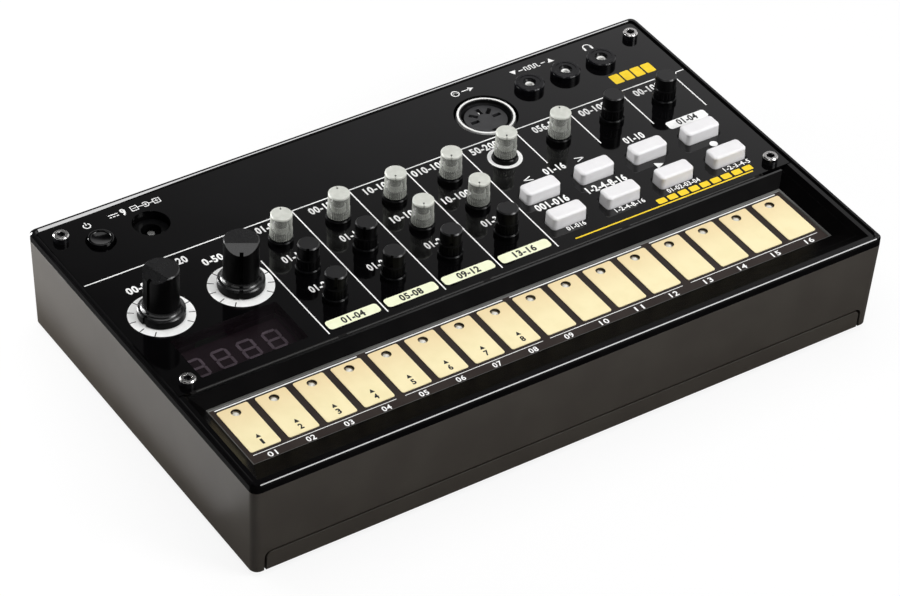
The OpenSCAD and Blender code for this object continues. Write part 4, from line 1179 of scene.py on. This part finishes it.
@dataclass
class ClearKnob:
    """Smoky clear knob with a ribbed foot and a pale, dotted top, over a knurled core, in millimetres."""

    radius: float = 2.9
    foot_out: float = 0.14
    foot_h: float = 2.7
    foot_edge: float = 0.12
    gap: float = 0.3
    cap_h: float = 0.7
    cap_round: float = 0.42
    flutes: int = 32
    flute_deep: float = 0.12
    notch_half: float = 0.22
    notch_deep: float = 0.2
    dot_at: float = 1.75
    dot_r: float = 0.27
    core_r: float = 1.95
    neck: float = 0.4
    collar: float = 0.5
    stem_r: float = 2.0
    rib_span: Span = (1.6, 3.3)
    ribs: int = 22
    rib_deep: float = 0.45
    sides: int = 256

    def lathe(self, rings: Sequence[tuple[Radius, float]]) -> Solid:
        """Makes a solid.

        Args:
            rings: Radius and level of each ring from the lowest up. A radius may depend on the
                angle from the pointer.

        Returns:
            The solid.
        """
        turns = [2 * math.pi * i / self.sides for i in range(self.sides)]
        skin = []
        for radius, level in rings:
            radii = [radius(a) if callable(radius) else radius for a in turns]
            skin.append([(r * math.cos(a), r * math.sin(a), level) for r, a in zip(radii, turns)])
        solid = Solid()
        solid.skin(skin)
        return solid

    def notched(self, radius: float) -> Radius:
        """Returns a radius that steps in at the pointer."""
        def at(angle: float) -> float:
            """Radius at an angle from the pointer."""
            inside = abs(self.radius * math.sin(angle)) < self.notch_half and math.cos(angle) > 0
            return min(radius, self.radius - self.notch_deep) if inside else radius
        return at

    def waved(self, radius: float, count: int, deep: float) -> Radius:
        """Returns a radius with that many flutes."""
        return lambda angle: radius - deep * (0.5 + 0.5 * math.cos(angle * count)) ** 2

    def wall(self, base: float, top: float) -> Solid:
        """Makes the clear wall up to the cap."""
        out, foot = self.radius + self.foot_out, base + self.foot_h
        start = self.waved(out - self.foot_edge, self.flutes, self.flute_deep)
        fluted = self.waved(out, self.flutes, self.flute_deep)
        return self.lathe([
            (start, base), (fluted, base + self.foot_edge), (fluted, foot - 0.5), (out - 0.03, foot - 0.35),
            (out - 0.04, foot), (self.radius, foot + 0.2), (self.radius, top)])

    def cap(self, low: float, top: float) -> Solid:
        """Makes the pale cap with its rounded rim and pointer notch."""
        edge = top - self.cap_round
        return self.lathe([(self.notched(self.radius), low)] + [
            (self.notched(self.radius - shrink), edge + rise) for shrink, rise in quarter(self.cap_round)])

    def dot(self, top: float) -> Solid:
        """Makes the dark dot and the fine line of the pointer."""
        pointer = Ink("dot", top - 0.005, 0.02)
        pointer.disc((self.dot_at, 0), self.dot_r, 16)
        pointer.bar((self.dot_at, 0), (self.radius - self.cap_round, 0), 0.12)
        return pointer

    def core(self, stem: float, base: float, top: float) -> Solid:
        """Makes the stem and the knurled core."""
        slim, wide = self.core_r - self.neck, self.core_r + self.collar
        low, high = (base + end for end in self.rib_span)
        ribbed = self.waved(self.core_r, self.ribs, self.rib_deep)
        return self.lathe([
            (self.stem_r, stem), (self.stem_r, base + 0.1), (wide, base + 0.2), (wide, base + 0.8),
            (slim, base + 1.0), (slim, low), (ribbed, low + 0.05), (ribbed, high - 0.05),
            (slim, high), (slim, top)])

    def build(self, node: str, pointer: float) -> None:
        """Makes one knob in the place of its node.

        Args:
            node: Name of the CAD node that it stands for.
            pointer: Angle of its pointer in degrees.
        """
        x, y = centre_of(node)
        base, top = top_of("knob_collars") + self.gap, top_of(node) - STEP
        turn = Matrix.Translation((x * MM, y * MM, 0)) @ Matrix.Rotation(math.radians(pointer), 4, "Z")
        body = node.replace("_knob", "")
        seam = top_of(node) - self.cap_h
        wall = self.wall(base, seam).mesh(node + "_wall", turn, 32)
        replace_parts(add_piece(wall, body, CLEAR_BODY), node)
        add_piece(self.cap(seam, top).mesh(node + "_cap", turn, 50), body, CLEAR_TOP)
        add_piece(self.dot(top).mesh(node + "_dot", turn), body, BLACK_INK)
        core = self.core(base_of(node), base, seam)
        add_piece(core.mesh(node + "_core", turn, 50), body, CORE_RIB)


@dataclass
class KeyCap:
    """Moulded key with rounded edges, a slight draft, a hidden flange and a stem, in millimetres."""

    width: float = 11.0
    depth: float = 5.25
    corner: float = 1.35
    least: float = 0.3
    edge: float = 0.8
    draft: float = 0.14
    flange: float = 0.7
    flange_r: float = 0.9
    flange_t: float = 0.9
    flange_drop: float = 2.7
    stem_r: float = 1.7

    def build(self, node: str) -> None:
        """Makes one key in the place of its node."""
        low, high = base_of(node), top_of(node)
        seat = top_of("control_panel") - self.flange_drop
        foot = seat + self.flange_t + STEP
        flange = rounded(self.width + 2 * self.flange, self.depth + 2 * self.flange, self.flange_r)
        stem = rounded(2 * self.stem_r, 2 * self.stem_r, self.stem_r - 0.01)
        layers = [(stem, low), (stem, seat), (flange, seat + STEP), (flange, seat + self.flange_t)]
        for share in (0.0, 0.5, 1.0):
            slim = 2 * self.draft * share
            outline = rounded(self.width - slim, self.depth - slim, self.corner)
            layers.append((outline, foot + (high - self.edge - foot) * share))
        for shrink, rise in quarter(self.edge, 10, 10):
            slim = 2 * (self.draft + shrink)
            outline = rounded(self.width - slim, self.depth - slim, max(self.corner - slim / 2, self.least))
            layers.append((outline, high - self.edge + rise))
        solid = Solid()
        solid.stack(layers)
        x, y = centre_of(node)
        place = Matrix.Translation((x * MM, y * MM, 0))
        body = node.replace("_key", "_switch_cap")
        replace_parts(add_piece(solid.mesh(node + "_cap", place, 50), body, WHITE_KEY), node)


@dataclass
class JackSleeves:
    """Black bushes with spring sleeves inside the bores of the audio jacks, the sleeves white as a painted
    glint, in millimetres.
    """

    pitch: float = 12.0
    bush: float = 1.77
    outer: float = 1.3
    inner: float = 0.85
    sink: float = 0.3
    slope: float = 0.5
    length: float = 6.0

    def build(self) -> None:
        """Makes the three bushes and sleeves."""
        x, y = centre_of("jack_nuts")
        top = top_of("audio_jacks") - self.sink
        low, seat = top - self.length, top - self.slope
        bushes, sleeves, skin = Solid(), Solid(), self.outer - 0.01
        bush = [(self.outer, low), (self.bush, low), (self.bush, top), (self.outer, seat)]
        sleeve = [(self.inner, low), (skin, low), (skin, seat - 0.05), (self.outer - 0.15, seat + 0.05),
                  (self.inner, seat - 0.25)]
        for k in (-1, 0, 1):
            centre = (x + k * self.pitch, y)
            bushes.turned(bush, centre, True)
            sleeves.turned(sleeve, centre, True)
        add_piece(bushes.mesh("jack_bushes"), Body.CASE.value, DARK_WELL)
        add_piece(sleeves.mesh("jack_sleeves"), Body.CASE.value, GLINT_WHITE_TIN)


@dataclass
class SocketTips:
    """Contact tips in the two rear slots of the round socket, white as a painted glint, in millimetres."""

    circle_r: float = 3.6
    half_l: float = 0.42
    half_w: float = 0.18
    sink: float = 0.5
    height: float = 0.8
    point: float = 0.15

    def build(self) -> None:
        """Makes the tips."""
        x, y = centre_of("midi_ring")
        top = top_of("midi_socket") - self.sink
        tips = Solid()
        for angle in (90, 135):
            turn = math.radians(angle)
            along, across = math.cos(turn), math.sin(turn)
            outlines = []
            for size in (1.0, 0.5):
                spots = [(self.circle_r + a * size * self.half_l, b * size * self.half_w)
                         for a, b in ((-1, -1), (1, -1), (1, 1), (-1, 1))]
                outlines.append([(x + r * along - w * across, y + r * across + w * along) for r, w in spots])
            whole, tapered = outlines
            tips.stack([(whole, top - self.height), (whole, top - self.point), (tapered, top)])
        add_piece(tips.mesh("socket_tips"), Body.CASE.value, GLINT_WHITE_TIN)


@dataclass
class PowerCap:
    """Dished power button with a rounded rim, a hidden flange and a stem, in millimetres."""

    radius: float = 3.4
    rim: float = 0.3
    edge: float = 0.25
    dish: float = 0.6
    flange_r: float = 4.45
    flange_t: float = 0.9
    flange_drop: float = 2.7
    stem_r: float = 1.9

    def build(self) -> None:
        """Makes the button in the place of its node."""
        low, high = base_of("power_button"), top_of("power_button")
        seat = top_of("control_panel") - self.flange_drop
        outline = [(self.stem_r, low), (self.stem_r, seat), (self.flange_r, seat + STEP),
                   (self.flange_r, seat + self.flange_t), (self.radius, seat + self.flange_t + STEP)]
        outline += [(self.radius - shrink, high - self.edge + rise) for shrink, rise in quarter(self.edge)]
        inside, floor = self.radius - self.edge - self.rim, high - self.dish
        outline += [(inside + 0.1, high), (inside - 0.1, high - self.dish * 0.75),
                    (inside - 0.3, floor), (0.03, floor)]
        solid = Solid()
        solid.turned(outline, centre_of("power_button"), steps=96)
        cap = add_piece(solid.mesh("power_cap", sharp=50), Body.POWER.value, BUTTON_BLACK)
        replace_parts(cap, "power_button")


# ---------------------------------------------------------------- studio

@dataclass(frozen=True)
class Lamp:
    """One soft area light, in metres and watts.

    Attributes:
        name: Its name.
        place: Where it stands.
        size: Width and height of its face.
        power: Its power.
        aim: Point that it faces.
        diffuse: Whether it lights matt faces too, and not only mirrors.
    """

    name: str
    place: Point3
    size: Span
    power: float
    aim: Point3 = (0, 0, 0)
    diffuse: bool = True

    def build(self) -> None:
        """Adds the light."""
        data = bpy.data.lights.new(self.name, "AREA")
        data.shape, data.size, data.size_y, data.energy = "RECTANGLE", *self.size, self.power
        light = bpy.data.objects.new(self.name, data)
        light.rotation_euler = (Vector(self.aim) - Vector(self.place)).to_track_quat("-Z", "Y").to_euler()
        light.location = self.place
        light.visible_camera, light.visible_diffuse = False, self.diffuse
        bpy.context.scene.collection.objects.link(light)


LAMPS = (
    Lamp("overhead_softbox", (0.0, 0.0, 0.95), (1.0, 1.0), 6.8),
    Lamp("key_softbox", (0.568, -0.815, 0.671), (0.50, 0.30), 8.0),
    Lamp("corner_light", (0.31, -0.675, 0.845), (0.16, 0.16), 0.5, diffuse=False),
    Lamp("low_strip", (-0.21, 0.21, 0.035), (0.16, 0.05), 1.2, (-0.10, 0.02, 0.02)),
    Lamp("floor_glow", (-0.135, 0.055, 0.003), (0.07, 0.18), 0.045, (-0.135, 0.055, 1.0), diffuse=False))


@dataclass
class Studio:
    """Camera, floor, soft lights and the world.

    Attributes:
        place: Where the camera stands, in metres.
        right: Its direction to the right.
        up: Its upward direction.
        back: Its direction away from the object.
        lens: Focal length in millimetres.
        sensor: Width of its picture in millimetres.
        shift: Its shift across and up, as a share of the width.
        fill: Strength of the world's light.
        floor_size: Side of the floor in metres.
        floor_color: Colour of the floor.
        floor_white: Share of plain white where the floor is seen.
        front_fade: Distances in front, in millimetres, between which the painted shade of the floor's mirror
            image lightens.
        front_light: How light it gets there.
        left_fade: Distances to the left between which it loses some of that light.
        left_front: Distances in front between which that loss sets in.
        left_loss: Share of the light that it loses.
        card_half: Half the side of the card in metres.
        card_height: Its level.
        card_spot: Place in metres where the card has its plain grey.
        card_grey: That grey, before it is squared.
        card_slope: Growth of the grey to the rear, beside that to the right.
    """

    place: Point3 = (-0.438962, -0.622200, 0.641595)
    right: Point3 = (0.83700, -0.54555, 0.04261)
    up: Point3 = (0.32169, 0.55355, 0.76818)
    back: Point3 = (-0.44266, -0.62926, 0.63881)
    lens: float = 149.245
    sensor: float = 36.0
    shift: Point = (-0.001, 0.0001)
    fill: float = 0.22
    floor_size: float = 6.0
    floor_color: Rgb = (0.9, 0.9, 0.9)
    floor_white: float = 0.85
    front_fade: Span = (62.0, 140.0)
    front_light: float = 0.85
    left_fade: Span = (98.0, 125.0)
    left_front: Span = (-45.0, 40.0)
    left_loss: float = 0.5
    card_half: float = 2.6
    card_height: float = 1.0
    card_spot: Point = (0.447, 0.838)
    card_grey: float = 0.15
    card_slope: float = 0.6

    def camera(self) -> None:
        """Places the camera at the photograph's angle."""
        data = bpy.data.cameras.new("camera")
        data.lens, data.sensor_width = self.lens, self.sensor
        data.shift_x, data.shift_y = self.shift
        data.clip_start, data.clip_end = 0.01, 50.0
        camera = bpy.data.objects.new("camera", data)
        rows = [(self.right[i], self.up[i], self.back[i], self.place[i]) for i in range(3)]
        camera.matrix_world = Matrix([*rows, (0, 0, 0, 1)])
        bpy.context.scene.collection.objects.link(camera)
        bpy.context.scene.camera = camera

    def seen(self, graph: Graph) -> Signal:
        """Returns 1 for rays from the camera, mirrors and clear parts."""
        camera, mirror, clear = (graph.node("ShaderNodeLightPath", output=f"Is {kind} Ray")
                                 for kind in ("Camera", "Glossy", "Transmission"))
        return camera + mirror + clear > 0.5

    def glow(self, graph: Graph, color: Signal) -> Signal:
        """Returns a shader that shows a colour as it is."""
        return graph.node("ShaderNodeEmission", None, {"Color": color, "Strength": 1.0})

    def world(self) -> None:
        """Makes a plain pale world that is white where it is seen."""
        world = bpy.data.worlds.new("studio")
        bpy.context.scene.world = world
        world.use_nodes = True
        graph = Graph(world.node_tree)
        light, shown = (graph.node("ShaderNodeBackground", None, {"Color": (1, 1, 1), "Strength": strength})
                        for strength in (self.fill, 1.0))
        graph.output("ShaderNodeOutputWorld", graph.node(
            "ShaderNodeMixShader", None, {0: self.seen(graph), 1: light, 2: shown}))

    def sheet(self, name: str, half: float, height: float) -> tuple[bpy.types.Object, Graph]:
        """Makes a level square that isn't part of the object.

        Args:
            name: Its name.
            half: Half its side in metres.
            height: Its level.

        Returns:
            The object and the empty node tree of its material.
        """
        mesh = bpy.data.meshes.new(name)
        corners = ((-half, -half), (half, -half), (half, half), (-half, half))
        mesh.from_pydata([(x, y, height) for x, y in corners], [], [(0, 1, 2, 3)])
        sheet = bpy.data.objects.new(name, mesh)
        bpy.context.scene.collection.objects.link(sheet)
        made = bpy.data.materials.new(name)
        made.use_nodes = True
        mesh.materials.append(made)
        return sheet, Graph(made.node_tree)

    def floor(self) -> None:
        """Makes the pale floor, white where it is seen but for a soft shadow; in mirrors it shows painted
        shade, dark near the case and lighter in front.
        """
        _, graph = self.sheet("pale_floor", self.floor_size / 2, 0.0)
        leftward, forward = 0 - graph.axis("X"), 0 - graph.axis("Y")
        front = forward.ramp(*self.front_fade) * self.front_light
        left = 1 - leftward.ramp(*self.left_fade) * forward.ramp(*self.left_front) * self.left_loss
        mirrored = graph.node("ShaderNodeLightPath", output="Is Glossy Ray")
        # painted shade in the floor's mirror image: dark near the case, lighter in front, darker again at the
        # left front
        shade = mirrored * (1 - front * left)
        paint = graph.node("ShaderNodeBsdfDiffuse", None, {"Color": self.floor_color})
        glow = self.glow(graph, graph.mix(shade, (1, 1, 1), (0, 0, 0)))
        graph.output("ShaderNodeOutputMaterial", graph.node(
            "ShaderNodeMixShader", None, {0: self.seen(graph) * self.floor_white, 1: paint, 2: glow}))

    def card(self) -> None:
        """Hangs a dark card over the object, lighter to the right rear, which only polished faces mirror: a
        painted reflection that gives the panel its sheen.
        """
        card, graph = self.sheet("painted_reflection_card", self.card_half, self.card_height)
        across, along = graph.axis("X") * MM, graph.axis("Y") * MM
        x, y = self.card_spot
        # painted reflection: the card's grey grows to the right and to the rear
        light = (self.card_grey + (across - x) + self.card_slope * (along - y)).clamp()
        glow = self.glow(graph, graph.mix(light * light, (0, 0, 0), (1, 0.99, 1)))
        graph.output("ShaderNodeOutputMaterial", glow)
        card.visible_camera = card.visible_diffuse = card.visible_shadow = card.visible_transmission = False

    def build(self) -> None:
        """Sets up the whole studio."""
        bpy.context.scene.view_settings.view_transform = "Standard"
        self.camera()
        self.world()
        self.floor()
        self.card()
        for lamp in LAMPS:
            lamp.build()


# ---------------------------------------------------------------- assembly

def dress_nodes() -> None:
    """Gives each CAD node its finish."""
    for finish, names in NODE_FINISHES.items():
        for name in names:
            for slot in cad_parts[name].material_slots:
                slot.material = finish.material()
            LOG.info("%s is dressed as %s", name, finish.name)


def main() -> None:
    """Builds the scene in order."""
    logging.basicConfig(level=logging.INFO, format="%(name)s: %(message)s")
    Studio().build()
    dress_nodes()
    PanelPrint().build()
    TouchStrip().build()
    for node, pointer in CLEAR_KNOBS.items():
        ClearKnob().build(node, pointer)
    for node in KEYS:
        KeyCap().build(node)
    JackSleeves().build()
    SocketTips().build()
    PowerCap().build()


if __name__ == "__main__":
    main()
